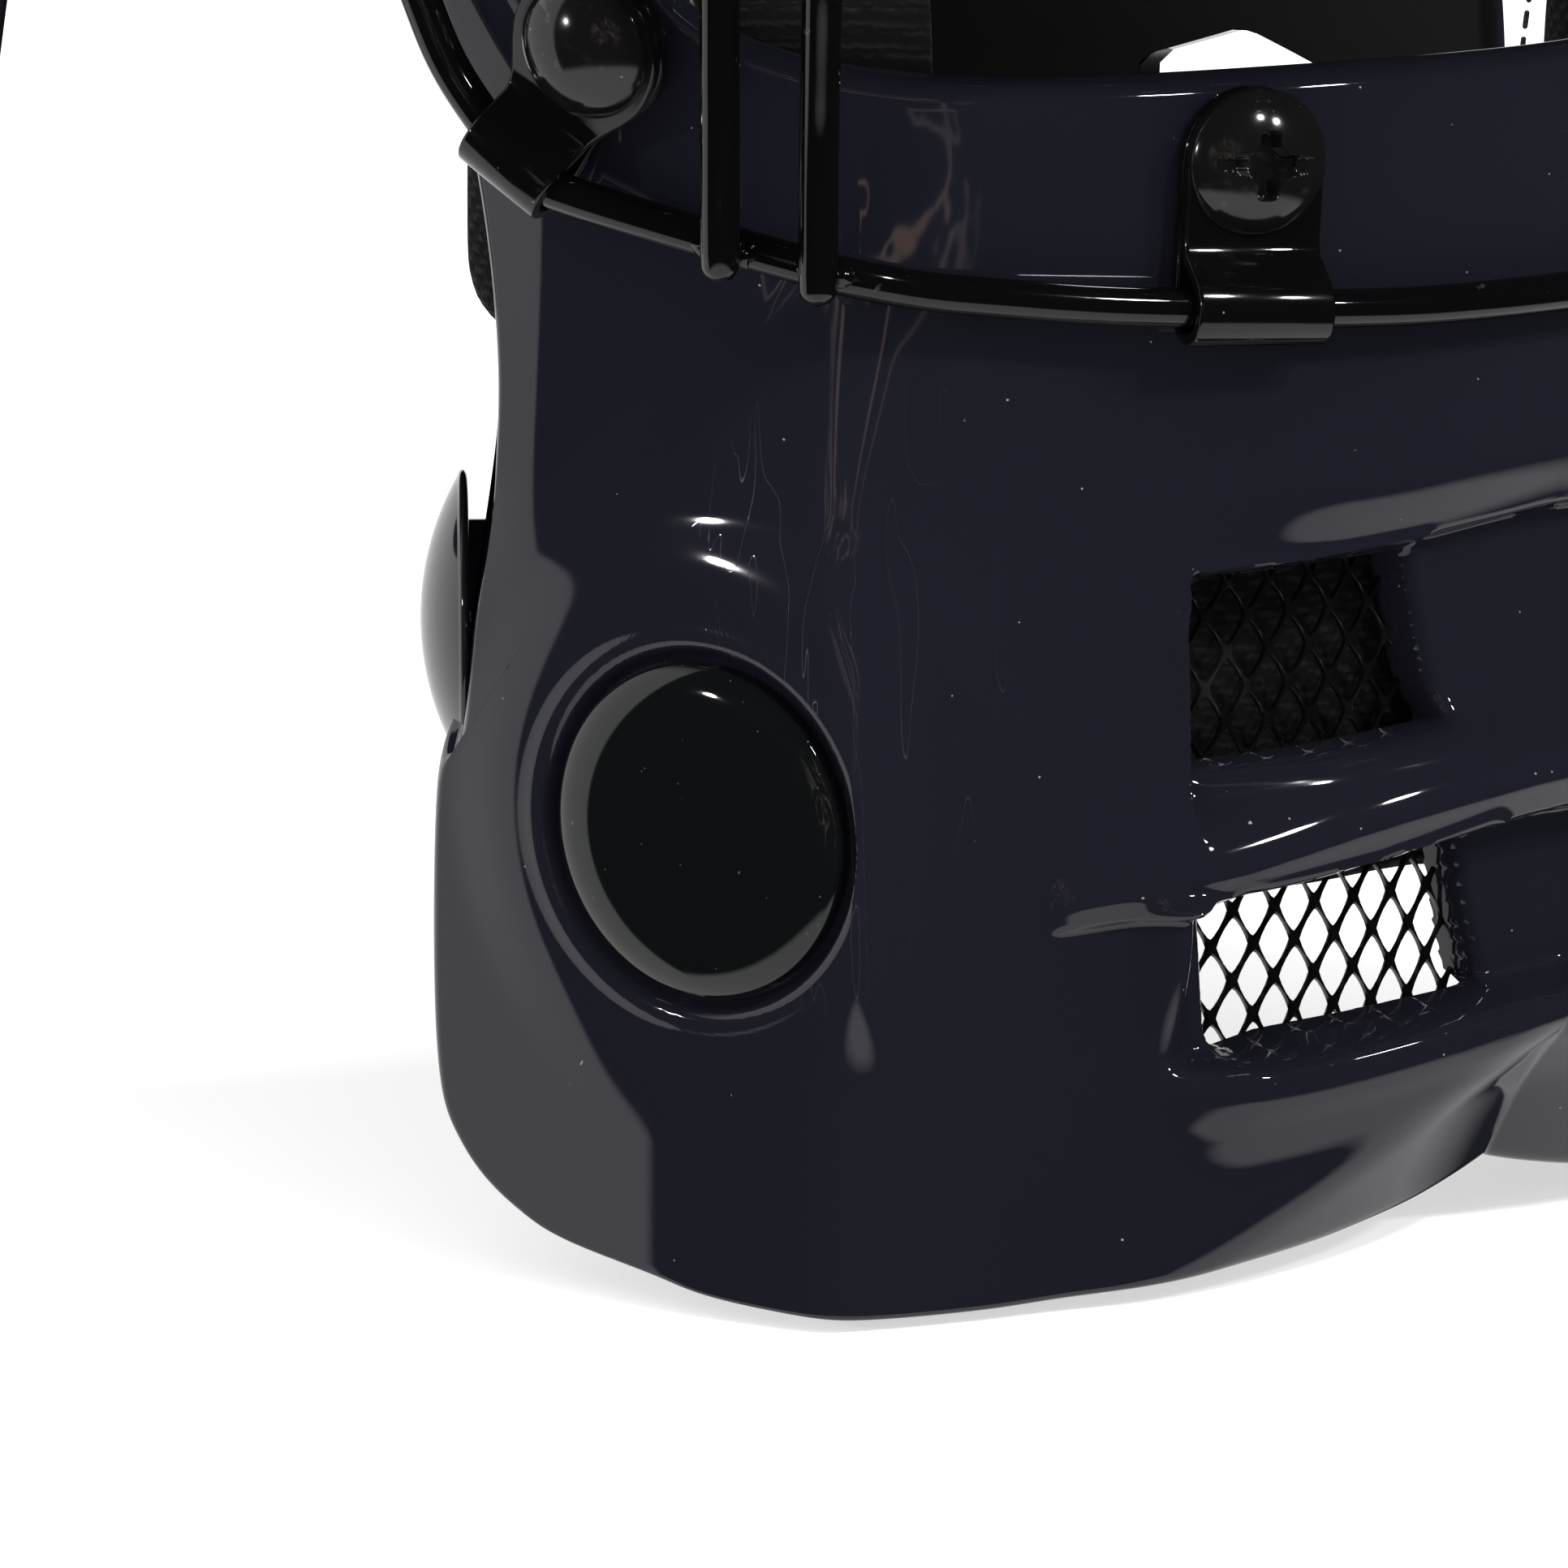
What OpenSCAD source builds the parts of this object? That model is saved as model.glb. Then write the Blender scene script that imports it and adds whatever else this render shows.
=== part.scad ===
// Goalkeeper's helmet for floorball: a hard front shell with a chin guard, a
// welded wire face cage held by clips, and a back plate that tips open on two
// side pivots. Millimetres, +Z up, the face looks along -Y, and the wearer's
// right side is -X. The right side is built and the left is its mirror.

/* [Shell] */
// Height of the crown above the lowest edge of the jaw.
helmet_height = 288; // [284:1:292]
// Half of the width across the jaw.
jaw_half_width = 81.5; // [80:0.5:83]
// Half of the width above the ears.
crown_half_width = 104; // [102:0.5:106]
// From the plan centre forward to the chin.
front_reach = 112; // [111:0.5:113]
// From the plan centre back to the widest point of the rear.
rear_reach = 130; // [128:1:132]
// Wall of the front shell.
shell_wall = 3.2; // [2.8:0.1:3.6]

/* [Face opening] */
// Half of the opening's width.
opening_half_width = 77; // [75:0.5:78]
// Height of the brow edge.
opening_top = 219; // [216:1:221]
// Height of the chin rim at the middle.
opening_bottom = 109.5; // [108:0.5:111]

/* [Cage] */
// Diameter of every wire.
cage_wire = 3.5; // [3:0.1:4]
// Air between the shell and the rim wire.
cage_gap = 2.1; // [2.1:0.1:2.2]
// From the plan centre forward to the crossbars.
cage_reach = 133; // [131:0.5:136]
// Heights of the four crossbars.
bar_lowest = 131; // [130:0.5:133]
bar_lower = 153; // [151:0.5:155]
bar_upper = 193; // [191:0.5:195]
bar_highest = 209; // [208:0.5:210]

/* [Fasteners] */
// Thickness of a clip's strap.
clip_sheet = 1.2; // [1:0.1:1.3]
// Width of a chin or brow clip.
clip_width = 13; // [12:0.5:14]
// Width of a side clip.
side_clip_width = 9; // [8:0.5:10]
// Diameter of the truss heads.
screw_head = 13; // [12:0.25:13.5]
// Diameter of the screw shanks.
screw_shank = 5; // [4.6:0.1:5.2]

/* [Badges] */
// Diameter of the domed disc on each side of the jaw.
badge_width = 30; // [28:0.5:31]
// Diameter of the domed cap behind the jaw.
cap_width = 27; // [25:0.5:28]

/* [Rear] */
// Wall of the back plate.
plate_wall = 3; // [2.6:0.1:3.4]
// Air between the shell and the back plate.
plate_gap = 2; // [1.8:0.1:2.4]
// Height of the pivots.
pivot_height = 175; // [173:0.5:177]

/* [Padding] */
// Thickness of the pads at their crowns.
pad_depth = 12; // [10:0.5:13]

/* [View] */
// The piece that is drawn.

/* [Hidden] */
wire_r = cage_wire / 2;
rim_out = cage_gap + wire_r;
plate_drop = shell_wall + plate_gap;
rear_low = 112;
dome_start = 150;
plan_centre = (cage_reach + wire_r - rear_reach + plate_drop) / 2;
core_height = 165;
pivot_back = 35;
seat = 0.3;
pad_seat = 0.9;
centre = [0, plan_centre, core_height];

function mix(a, b, t) = a + (b - a) * t;
function ease(a, b, x) = let (t = max(0, min(1, (x - a) / (b - a)))) t * t * (3 - 2 * t);

// The outer surface, cut level: a half width, a front and a rear reach at each
// height, and the plan radius at an angle from the front. inset moves it in.
function dome(z, inset) =
    let (t = max(0, min(1, (z - dome_start) / (helmet_height - inset - dome_start))))
    pow(max(0.0001, 1 - pow(t, 2.6)), 1 / 2.6);
function half_width(z, inset) =
    (mix(jaw_half_width, crown_half_width, ease(70, 195, z)) - inset) * dome(z, inset);
function front_at(z, inset) = (front_reach - inset) * dome(z, inset);
function rear_at(z, inset) = (mix(rear_low, rear_reach, ease(40, 170, z)) - inset) * dome(z, inset);
function oval(angle, a, f, n) = pow(pow(abs(sin(angle)) / a, n) + pow(abs(cos(angle)) / f, n), -1 / n);
function skull(angle, z, inset) =
    cos(angle) >= 0 ? oval(angle, half_width(z, inset), front_at(z, inset), 2.3)
                    : oval(angle, half_width(z, inset), rear_at(z, inset), 2.2);
function jaw(angle, z, inset) =
    let (k = ease(60, 110, z),
         arc = front_at(z, inset) - mix(6, 9, k) * pow(sin(angle), 2),
         lean = max(0.05, cos(abs(angle) - mix(80, 84, k))),
         flank = (half_width(z, inset) + 5.7 - 6.8 * k) / lean)
    pow(pow(arc / 100, -36) + pow(flank / 100, -36), -1 / 36) * 100;
function plan_radius(angle, z, inset) =
    mix(jaw(angle, z, inset), skull(angle, z, inset), ease(112, 150, z));

// A point given by side, forward distance and height, and one on the surface.
function place(side, forward, z) = [-side, plan_centre - forward, z];
function on_surface(angle, z, inset) =
    let (r = plan_radius(angle, z, inset)) place(r * sin(angle), r * cos(angle), z);

// The chin's underside is tucked in below a line that falls to each side.
function tuck(p) =
    let (line = 22 - 17 * abs(p.x) / 34, t = max(0, min(1, (line - p.z) / 11)))
    p.y < plan_centre ? [0, 6 * t, 0] : [0, 0, 0];

// The surface point seen along a direction from the core of the head.
function inside(p, inset) =
    p.z < helmet_height - inset
    && norm([p.x, p.y - plan_centre]) < plan_radius(atan2(abs(p.x), plan_centre - p.y), p.z, inset);
function cast(way, inset, lo = 20, hi = 240, left = 18) =
    left == 0 ? centre + way * (lo + hi) / 2
              : let (mid = (lo + hi) / 2) inside(centre + way * mid, inset)
                    ? cast(way, inset, mid, hi, left - 1)
                    : cast(way, inset, lo, mid, left - 1);

// A smooth curve through control points, at index k counted in whole steps.
function bend(a, b, c, d, t) =
    0.5 * ((2 * b) + (c - a) * t + (2 * a - 5 * b + 4 * c - d) * t * t
           + (3 * b - a - 3 * c + d) * t * t * t);
function curve(points, k) =
    let (last = len(points) - 1, i = min(last - 1, floor(k)), t = k - i)
    bend(points[max(0, i - 1)], points[i], points[i + 1], points[min(last, i + 2)], t);
// The same, for pairs of a position and a value, read at a position.
function read(pairs, x, i = 0) =
    i >= len(pairs) - 2 || x < pairs[i + 1][0]
        ? curve(pairs, i + max(0, min(1, (x - pairs[i][0]) / (pairs[i + 1][0] - pairs[i][0]))))[1]
        : read(pairs, x, i + 1);

// Outer edge of the front shell: crown, rear edge, jaw corner, chin. Each is
// side, forward distance and height, and only its direction is used.
outer_edge = [
    [0, -80, 240], [38, -78, 234], [68, -68, 215], [88, -52, 190], [98, -28, 166], [96, 2, 150],
    [89, 30, 134], [84, 51, 119], [82, 55, 104], [80.5, 57.5, 78], [79.2, 53.5, 60], [79.4, 52, 48],
    [79.9, 48.9, 43], [80, 48.6, 19.4], [79.5, 51.4, 10.4], [77.9, 59.7, 4.7], [74.5, 74.8, 1.4],
    [67.4, 86.2, -1.2], [51, 98.3, -1.4], [34.1, 106.1, 0.7], [20, 110.2, 1.7], [9, 111.5, 3.6],
    [0, 112, 5.6]
];
// Turns round the face opening that each of those points is joined to.
opening_turn = [0, 22, 42, 60, 76, 90, 101, 110, 116, 122, 126, 128.5, 130.5, 135, 138, 142, 147.5,
                153, 160, 166, 172, 176, 180];

function opening_point(turn) =
    let (up = cos(turn) > 0, m = up ? 3 : 6,
         tall = up ? opening_top - core_height : core_height - opening_bottom,
         q = pow(pow(abs(sin(turn)) / opening_half_width, m) + pow(abs(cos(turn)) / tall, m), -1 / m),
         side = q * sin(turn), z = core_height + q * cos(turn),
         a = half_width(z, 0))
    place(side, front_at(z, 0) * pow(1 - pow(min(0.98, side / a), 2.3), 1 / 2.3), z);

half_steps = 44;
rings = 13;
function unit(v) = v / norm(v);
function edge_way(k) = unit(let (p = curve(outer_edge, k)) place(p.x, p.y, p.z) - centre);
function opening_way(k) = unit(opening_point(curve(opening_turn, k)) - centre);
function mirrored(p) = [-p.x, p.y, p.z];
function shell_point(k, t, inset) =
    let (p = cast(unit(mix(opening_way(k), edge_way(k), t)), inset)) p + tuck(p);
function shell_ring(t, inset) =
    let (half = [for (i = [0:half_steps])
             shell_point(i * (len(outer_edge) - 1) / half_steps, t, inset)])
    concat(half, [for (i = [half_steps - 1:-1:1]) mirrored(half[i])]);

// Triangles that close the space between two grids of points, out and in.
// ring joins the last column to the first.
function skin(rows, cols, ring) =
    let (n = rows * cols, last = ring ? cols : cols - 1)
    concat(
        [for (r = [0:rows - 2], c = [0:last - 1])
            let (i = r * cols + c, k = r * cols + (c + 1) % cols)
            each [[i, k, i + cols], [k, k + cols, i + cols],
                  [n + i, n + i + cols, n + k], [n + k, n + i + cols, n + k + cols]]],
        [for (c = [0:last - 1])
            let (k = (c + 1) % cols, e = (rows - 1) * cols)
            each [[c, n + c, k], [k, n + c, n + k],
                  [e + c, e + k, n + e + c], [e + k, n + e + k, n + e + c]]],
        ring ? [] : [for (r = [0:rows - 2])
            let (i = r * cols, j = i + cols - 1)
            each [[i, i + cols, n + i], [i + cols, n + i + cols, n + i],
                  [j, n + j, j + cols], [j + cols, n + j, n + j + cols]]]);

module slab(out, in, ring = false) {
    polyhedron(
        points = concat([for (row = out) each row], [for (row = in) each row]),
        faces = skin(len(out), len(out[0]), ring));
}

// A round wire along a path. away is the direction its seam faces.
function wire_ring(p, along, r, sides) =
    let (away = unit([p.x, p.y - plan_centre, 0]),
         a = unit(away - (away * along) * along),
         b = cross(along, a))
    [for (i = [0:sides - 1]) p + r * (cos(360 * i / sides) * a + sin(360 * i / sides) * b)];
module closed_wire(path, r, sides = 10) {
    n = len(path);
    rows = [for (i = [0:n - 1])
        wire_ring(path[i], unit(path[(i + 1) % n] - path[(i + n - 1) % n]), r, sides)];
    polyhedron(
        points = [for (row = rows) each row],
        faces = [for (i = [0:n - 1], j = [0:sides - 1])
            let (a = i * sides, b = ((i + 1) % n) * sides, k = (j + 1) % sides)
            each [[a + j, b + j, a + k], [a + k, b + j, b + k]]]);
}
module open_wire(path, r, sides = 10) {
    n = len(path);
    first = unit(path[1] - path[0]);
    last = unit(path[n - 1] - path[n - 2]);
    rows = concat(
        [wire_ring(path[0], first, r * 0.55, sides), wire_ring(path[0] + first * r * 0.45, first, r, sides)],
        [for (i = [1:n - 2]) wire_ring(path[i], unit(path[i + 1] - path[i - 1]), r, sides)],
        [wire_ring(path[n - 1] - last * r * 0.45, last, r, sides), wire_ring(path[n - 1], last, r * 0.55, sides)]);
    m = len(rows);
    polyhedron(
        points = [for (row = rows) each row],
        faces = concat(
            [for (i = [0:m - 2], j = [0:sides - 1])
                let (a = i * sides, b = a + sides, k = (j + 1) % sides)
                each [[a + j, b + j, a + k], [a + k, b + j, b + k]]],
            [[for (j = [0:sides - 1]) j]],
            [[for (j = [sides - 1:-1:0]) (m - 1) * sides + j]]));
}

module both_sides() {
    children();
    mirror([1, 0, 0]) children();
}

// Puts children on the surface: +X out of it, +Z up, +Y along it level.
module on_shell(angle, z, inset = 0) {
    a = on_surface(angle - 1, z, inset);
    b = on_surface(angle + 1, z, inset);
    translate(on_surface(angle, z, inset))
        rotate([0, 0, atan2(b.x - a.x, a.y - b.y)]) children();
}
module along_x(r, from, to) {
    translate([from, 0, 0]) rotate([0, 90, 0]) cylinder(r = r, h = to - from, $fn = 48);
}

// Angle on the surface at a forward distance, or at a distance to the side.
function angle_forward(g, z, inset, lo = 5, hi = 110, left = 16) =
    let (mid = (lo + hi) / 2)
    left == 0 ? mid
              : plan_radius(mid, z, inset) * cos(mid) > g
                    ? angle_forward(g, z, inset, mid, hi, left - 1)
                    : angle_forward(g, z, inset, lo, mid, left - 1);
function angle_side(s, z, inset, lo = 0, hi = 60, left = 16) =
    let (mid = (lo + hi) / 2)
    left == 0 ? mid
              : plan_radius(mid, z, inset) * sin(mid) < s
                    ? angle_side(s, z, inset, mid, hi, left - 1)
                    : angle_side(s, z, inset, lo, mid, left - 1);

// The rim wire: its height below the chin rim and above the brow by distance
// to the side, and its forward distance down each temple by height.
rim_below = [[0, 89.2], [20, 89.5], [33, 90.3], [51, 91.7], [66, 93.8], [71.5, 96.1], [76.5, 98.6]];
rim_temple = [[98.6, 70.4], [102.4, 66.2], [104.6, 62.5], [110.1, 58.3], [117.2, 55.4], [132, 51.5],
              [150, 50], [172, 50], [192, 52.5], [205, 58], [215, 66]];
rim_above = [[0, 233], [30, 232], [50, 229], [68, 223.5], [79, 218.5], [86, 215]];
function rim_off(z) =
    -rim_out - 0.7 * ease(205, 226, z) - 0.6 * ease(94, 100, z) * (1 - ease(110, 122, z));
function rim_at_side(pairs, s) =
    let (z = read(pairs, s)) on_surface(angle_side(s, z, rim_off(z)), z, rim_off(z));
function rim_at_height(z) =
    on_surface(angle_forward(read(rim_temple, z), z, rim_off(z)), z, rim_off(z));
temple_heights = [101, 104, 107.5, 112, 118, 126, 136, 147, 158, 170, 182, 193, 203, 210];
function rim_half() = concat(
    [for (s = [0:7:70]) rim_at_side(rim_below, s)],
    [for (z = temple_heights) rim_at_height(z)],
    [for (s = [84, 79, 72, 63, 52, 40, 27, 13, 0]) rim_at_side(rim_above, s)]);

// Each crossbar is an oval in plan that meets the rim wire from the front.
function bar_end_forward(z) =
    let (slope = (read(rim_temple, z + 1) - read(rim_temple, z - 1)) / 2)
    read(rim_temple, z) + (cage_wire + 0.5) * sqrt(1 + slope * slope);
function bar_end_angle(z) = angle_forward(bar_end_forward(z), z, rim_off(z));
function bar_end_side(z) = bar_end_forward(z) * tan(bar_end_angle(z));
function bar_half(z) = bar_end_side(z) / pow(1 - pow(bar_end_forward(z) / cage_reach, 2.3), 1 / 2.3);
function bar_radius(angle, z) = oval(angle, bar_half(z), cage_reach, 2.3);
function bar_path(z) = let (end = bar_end_angle(z))
    [for (i = [-14:14]) let (a = end * i / 14, r = bar_radius(a, z)) place(r * sin(a), r * cos(a), z)];

// The uprights stand in front of the rim wire and of the crossbars.
function upright_path(angle, low, high) =
    [for (i = [0:20])
        let (z = mix(low, high, i / 20),
             w = ease(low + 8, bar_lowest - 3, z) * (1 - ease(bar_highest + 3, high, z)),
             over = bar_radius(angle, max(bar_lowest - 6, min(bar_highest + 4, z))) + cage_wire + 0.6,
             r = mix(plan_radius(angle, z, rim_off(z) - cage_wire - 0.2), over, w))
        place(r * sin(angle), r * cos(angle), z)];

// Places of the clips on the rim wire: distance to the side, or height.
chin_clip_side = 36;
brow_clip_side = 34;
side_clip_z = 103.4;
clip_reach = 12.8;
clip_play = 0.62;

// A clip's outline: a loop round the wire and two layers up to the screw.
module clip_outline(reach) {
    bore = wire_r + clip_play;
    loop = bore + clip_sheet;
    top = reach + 7;
    back = rim_out - loop;
    difference() {
        union() {
            translate([rim_out, 0]) circle(r = loop, $fn = 48);
            translate([back, 0]) square([clip_sheet, top]);
            polygon([[rim_out + 0.2, loop * 0.93], [rim_out + loop * 0.88, loop * 0.4],
                     [back + 2 * clip_sheet, 6.4], [back + 2 * clip_sheet, top],
                     [back + clip_sheet, top], [back + clip_sheet, 5.6]]);
        }
        translate([rim_out, 0]) circle(r = bore, $fn = 48);
    }
}
module clip(reach, width) {
    difference() {
        translate([0, width / 2, 0]) rotate([90, 0, 0]) linear_extrude(width) clip_outline(reach);
        translate([0, 0, reach]) along_x(screw_shank / 2 + 0.3, -1, 8);
    }
}
// Height of the clip's outer layer above the shell, where a screw head sits.
clip_top = rim_out - wire_r - clip_play + clip_sheet;
nut_depth = 4;

// A round disc with a straight skirt and a domed top, standing on X = 0.
module domed_disc(width, skirt, rise) {
    half = width / 2;
    ball = (half * half + rise * rise) / (2 * rise);
    arc = [for (i = [0:8]) let (r = half * (1 - i / 8)) [r, skirt + sqrt(ball * ball - r * r) - ball + rise]];
    rotate([0, 90, 0]) rotate_extrude($fn = 96) polygon(concat([[0, 0], [half, 0]], arc));
}

module truss_screw(reach, slots) {
    rise = 2.8;
    translate([clip_top + 0.05, 0, reach]) difference() {
        union() {
            domed_disc(screw_head, 0.2, rise - 0.2);
            along_x(screw_shank / 2, -clip_top - shell_wall - nut_depth - 3, 0.5);
        }
        if (slots) {
            translate([rise - 1.3, -screw_head * 0.45, -0.9]) cube([4, screw_head * 0.9, 1.8]);
            translate([rise - 2.1, -3.2, -0.8]) cube([4, 6.4, 1.6]);
            translate([rise - 2.1, -0.8, -3.2]) cube([4, 1.6, 6.4]);
        }
    }
}
module flange_nut(reach, sink = 0.6) {
    translate([-shell_wall - sink, 0, reach]) difference() {
        union() {
            along_x(6, -1.2, 0);
            along_x(4, -nut_depth, -1.1);
        }
        along_x(screw_shank / 2 + 0.06, -nut_depth - 1, 1);
    }
}
// Puts children behind a point of the wire, given a point to each side of it
// and the slope of the shell there. +X is out of the shell, +Z to the screw.
module behind_wire(p, toward, from, lean) {
    level = norm([toward.x - from.x, toward.y - from.y]);
    translate(p)
        rotate([0, 0, atan2(from.x - toward.x, toward.y - from.y)])
        rotate([0, -lean, 0])
        rotate([atan2(toward.z - from.z, level), 0, 0])
        translate([-rim_out, 0, 0])
        children();
}
module at_chin_clip() {
    behind_wire(rim_at_side(rim_below, chin_clip_side), rim_at_side(rim_below, chin_clip_side - 2),
                rim_at_side(rim_below, chin_clip_side + 2), 0) children();
}
function lean_at(angle, z) = atan((plan_radius(angle, z, 0) - plan_radius(angle, z + 8, 0)) / 8);
module at_side_clip() {
    behind_wire(rim_at_height(side_clip_z), rim_at_height(side_clip_z - 2),
                rim_at_height(side_clip_z + 2),
                lean_at(angle_forward(read(rim_temple, side_clip_z), side_clip_z, 0), side_clip_z))
        children();
}
module at_brow_clip() {
    z = read(rim_above, brow_clip_side);
    behind_wire(rim_at_side(rim_above, brow_clip_side), rim_at_side(rim_above, brow_clip_side - 2),
                rim_at_side(rim_above, brow_clip_side + 2), lean_at(angle_side(brow_clip_side, z, 0), z))
        children();
}

module chin_clips() {
    color("#202024") both_sides() at_chin_clip() clip(clip_reach, clip_width);
}
module side_clips() {
    color("#202024") both_sides() at_side_clip() clip(clip_reach, side_clip_width);
}
module brow_clips() {
    color("#202024") both_sides() at_brow_clip() clip(clip_reach, clip_width);
}
module chin_clip_screws() {
    color("#2a2a2e") both_sides() at_chin_clip() truss_screw(clip_reach, true);
}
module side_clip_screws() {
    color("#2a2a2e") both_sides() at_side_clip() truss_screw(clip_reach, false);
}
module brow_clip_screws() {
    color("#2a2a2e") both_sides() at_brow_clip() truss_screw(clip_reach, true);
}
module chin_clip_nuts() {
    color("#8c8c90") both_sides() at_chin_clip() flange_nut(clip_reach);
}
module side_clip_nuts() {
    color("#8c8c90") both_sides() at_side_clip() flange_nut(clip_reach, 3);
}
module brow_clip_nuts() {
    color("#8c8c90") both_sides() at_brow_clip() flange_nut(clip_reach, 2.8);
}

// The badge disc sits in a round pocket on a plane that faces 75 degrees.
badge_facing = 75;
badge_place = place(73.4, 78.2, 44);
module at_badge() {
    translate(badge_place) rotate([0, 0, -90 - badge_facing]) children();
}
// The cap closes the corner behind the jaw.
cap_facing = 130;
module at_cap() {
    translate(place(69.5, 42.1, 63)) rotate([0, 0, -90 - cap_facing]) children();
}
module jaw_badges() {
    color("#0b0b0d") both_sides() at_badge() domed_disc(badge_width, 0.6, 1);
}
// A round boss behind it stands free of the shell's rear edge.
cap_boss = 2.6;
cap_boss_r = 9;
module jaw_caps() {
    color("#121216") both_sides() at_cap() union() {
        domed_disc(cap_width, 0.8, 3.6);
        along_x(cap_boss_r, -cap_boss, 0.1);
    }
}

// Vents in the chin, as seen from the front: side and height.
upper_vent = [[38, 65], [37.5, 54], [36.8, 48.5], [17.6, 50.5], [19.5, 57.5], [22.1, 67], [34, 66.5]];
lower_vent = [[36.3, 35.5], [35.6, 23.5], [33.2, 21.5], [26.9, 23.2], [16.7, 24], [10.5, 24.2],
              [12.2, 34.6], [13.5, 39.8]];
module vent_cut(outline) {
    both_sides() translate([0, plan_centre - 60, 0]) rotate([90, 0, 0])
        linear_extrude(80) polygon([for (q = outline) [-q[0], q[1]]]);
}
// A flat panel of stretched mesh with long diamond holes.
mesh_pitch = 3.4;
mesh_tall = 6;
strand = 0.65;
module mesh_panel(wide, tall) {
    cols = floor(wide / mesh_pitch) - 1;
    rows = floor(tall / mesh_tall);
    hole_w = mesh_pitch / 2 - strand / 2;
    hole_h = mesh_tall / 2 - strand * 0.7;
    rotate([90, 0, 90]) linear_extrude(0.8) difference() {
        translate([-wide / 2, -tall / 2]) square([wide, tall]);
        for (i = [0:2 * cols], j = [0:rows - 1]) {
            x = (i - cols) * mesh_pitch / 2;
            y = (j - (rows - 1) / 2 + (i % 2) / 2 - 0.25) * mesh_tall;
            translate([x, y]) polygon([[hole_w, 0], [0, hole_h], [-hole_w, 0], [0, -hole_h]]);
        }
    }
}
module upper_vent_meshes() {
    color("#101012") both_sides() on_shell(14.3, 57.6, shell_wall) translate([-2.2, 0, 0]) mesh_panel(27, 25);
}
module lower_vent_meshes() {
    color("#101012") both_sides() on_shell(12.4, 30.6, shell_wall) translate([-3, 0, 0]) mesh_panel(33, 24);
}

// Pivots of the back plate: flat round bosses on the shell and the plate.
pivot_side = let (a = 180 - angle_pivot(pivot_height)) plan_radius(a, pivot_height, 0) * sin(a);
function angle_pivot(z, lo = 30, hi = 89, left = 16) =
    let (mid = (lo + hi) / 2)
    left == 0 ? mid
              : plan_radius(180 - mid, z, 0) * cos(mid) > pivot_back
                    ? angle_pivot(z, mid, hi, left - 1)
                    : angle_pivot(z, lo, mid, left - 1);
boss_in = shell_wall + 1.1;
boss_r = 9;
plate_face = boss_in + 0.8;
plate_back = plate_face + plate_wall + 2;
rivet_r = 3;
module at_pivot() {
    translate(place(pivot_side, -pivot_back, pivot_height)) rotate([0, 0, 180]) children();
}
module pivot_rivets() {
    color("#77777c") both_sides() at_pivot() union() {
        along_x(rivet_r, -plate_back - 1, 1.2);
        along_x(6.5, 0.85, 2.4);
        along_x(6, -plate_back - 1.8, -plate_back - 0.06);
    }
}
module pivot_washers() {
    color("#d8d8d2") both_sides() at_pivot() difference() {
        along_x(8, -plate_face + 0.06, -boss_in - 0.06);
        along_x(rivet_r + 0.1, -plate_face, -boss_in);
    }
}

module front_shell() {
    color("#17171c") difference() {
        union() {
            slab([for (j = [0:rings]) shell_ring(j / rings, 0)],
                 [for (j = [0:rings]) shell_ring(j / rings, shell_wall)], ring = true);
            both_sides() at_pivot() along_x(boss_r, -boss_in, 0.8);
        }
        translate([-150, -200, -30]) cube([300, 400, 30]);
        vent_cut(upper_vent);
        vent_cut(lower_vent);
        both_sides() at_badge() along_x(badge_width / 2 + 0.4, -seat, 12);
        both_sides() at_chin_clip() translate([0, 0, clip_reach]) along_x(screw_shank / 2 + 0.2, -9, 9);
        both_sides() at_side_clip() translate([0, 0, clip_reach]) along_x(screw_shank / 2 + 0.2, -9, 9);
        both_sides() at_brow_clip() translate([0, 0, clip_reach]) along_x(screw_shank / 2 + 0.2, -9, 9);
        both_sides() at_pivot() along_x(rivet_r + 0.05, -12, 12);
        both_sides() at_pivot() along_x(boss_r, 0.8, 9);
        both_sides() at_pivot() along_x(boss_r, -12, -boss_in);
    }
}

// Heights on the dome of a helmet 288 high keep their share of any other dome.
function domed(z) =
    z > dome_start ? dome_start + (z - dome_start) * (helmet_height - dome_start) / 138 : z;

// The back plate runs inside the shell's rear edge and down to the nape.
plate_foot = [[83, 78], [92, 74], [105, 71], [122, 72], [138, 78], [150, 88], [162, 94], [180, 97]];
plate_head = [[83, 156], [92, 162], [105, 182], [120, 212], [140, 246], [160, 262], [180, 267]];
function plate_half(z, inset) =
    z > dome_start ? half_width(z, plate_drop + inset)
                   : half_width(dome_start, plate_drop + inset) + 8 * ease(dome_start - 5, 85, z);
function plate_radius(angle, z, inset) =
    oval(angle, plate_half(z, inset), rear_at(z, plate_drop + inset), 2.2);
function plate_point(angle, z, inset) =
    let (r = plate_radius(angle, z, inset)) place(r * sin(angle), r * cos(angle), z);
function plate_grid(inset) =
    [for (j = [0:14]) [for (i = [0:44])
        let (a = mix(85.5, 274.5, i / 44), b = a > 180 ? 360 - a : a,
             z = mix(read(plate_foot, b), domed(read(plate_head, b)), j / 14))
        plate_point(a, z, inset)]];
module back_plate() {
    color("#1b1b20") difference() {
        union() {
            slab(plate_grid(0), plate_grid(plate_wall));
            both_sides() at_pivot() along_x(boss_r + 1.5, -plate_back, -plate_face);
        }
        both_sides() at_pivot() along_x(boss_r + 1.5, -plate_face, 9);
        both_sides() at_pivot() along_x(boss_r + 1.5, -25, -plate_back);
        both_sides() at_pivot() along_x(rivet_r + 0.05, -20, 9);
        translate([150, plan_centre, 0]) rotate([90, 0, -90])
            linear_extrude(300) polygon([[-17, 77], [-39, 77], [-28, 89]]);
    }
}

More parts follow.
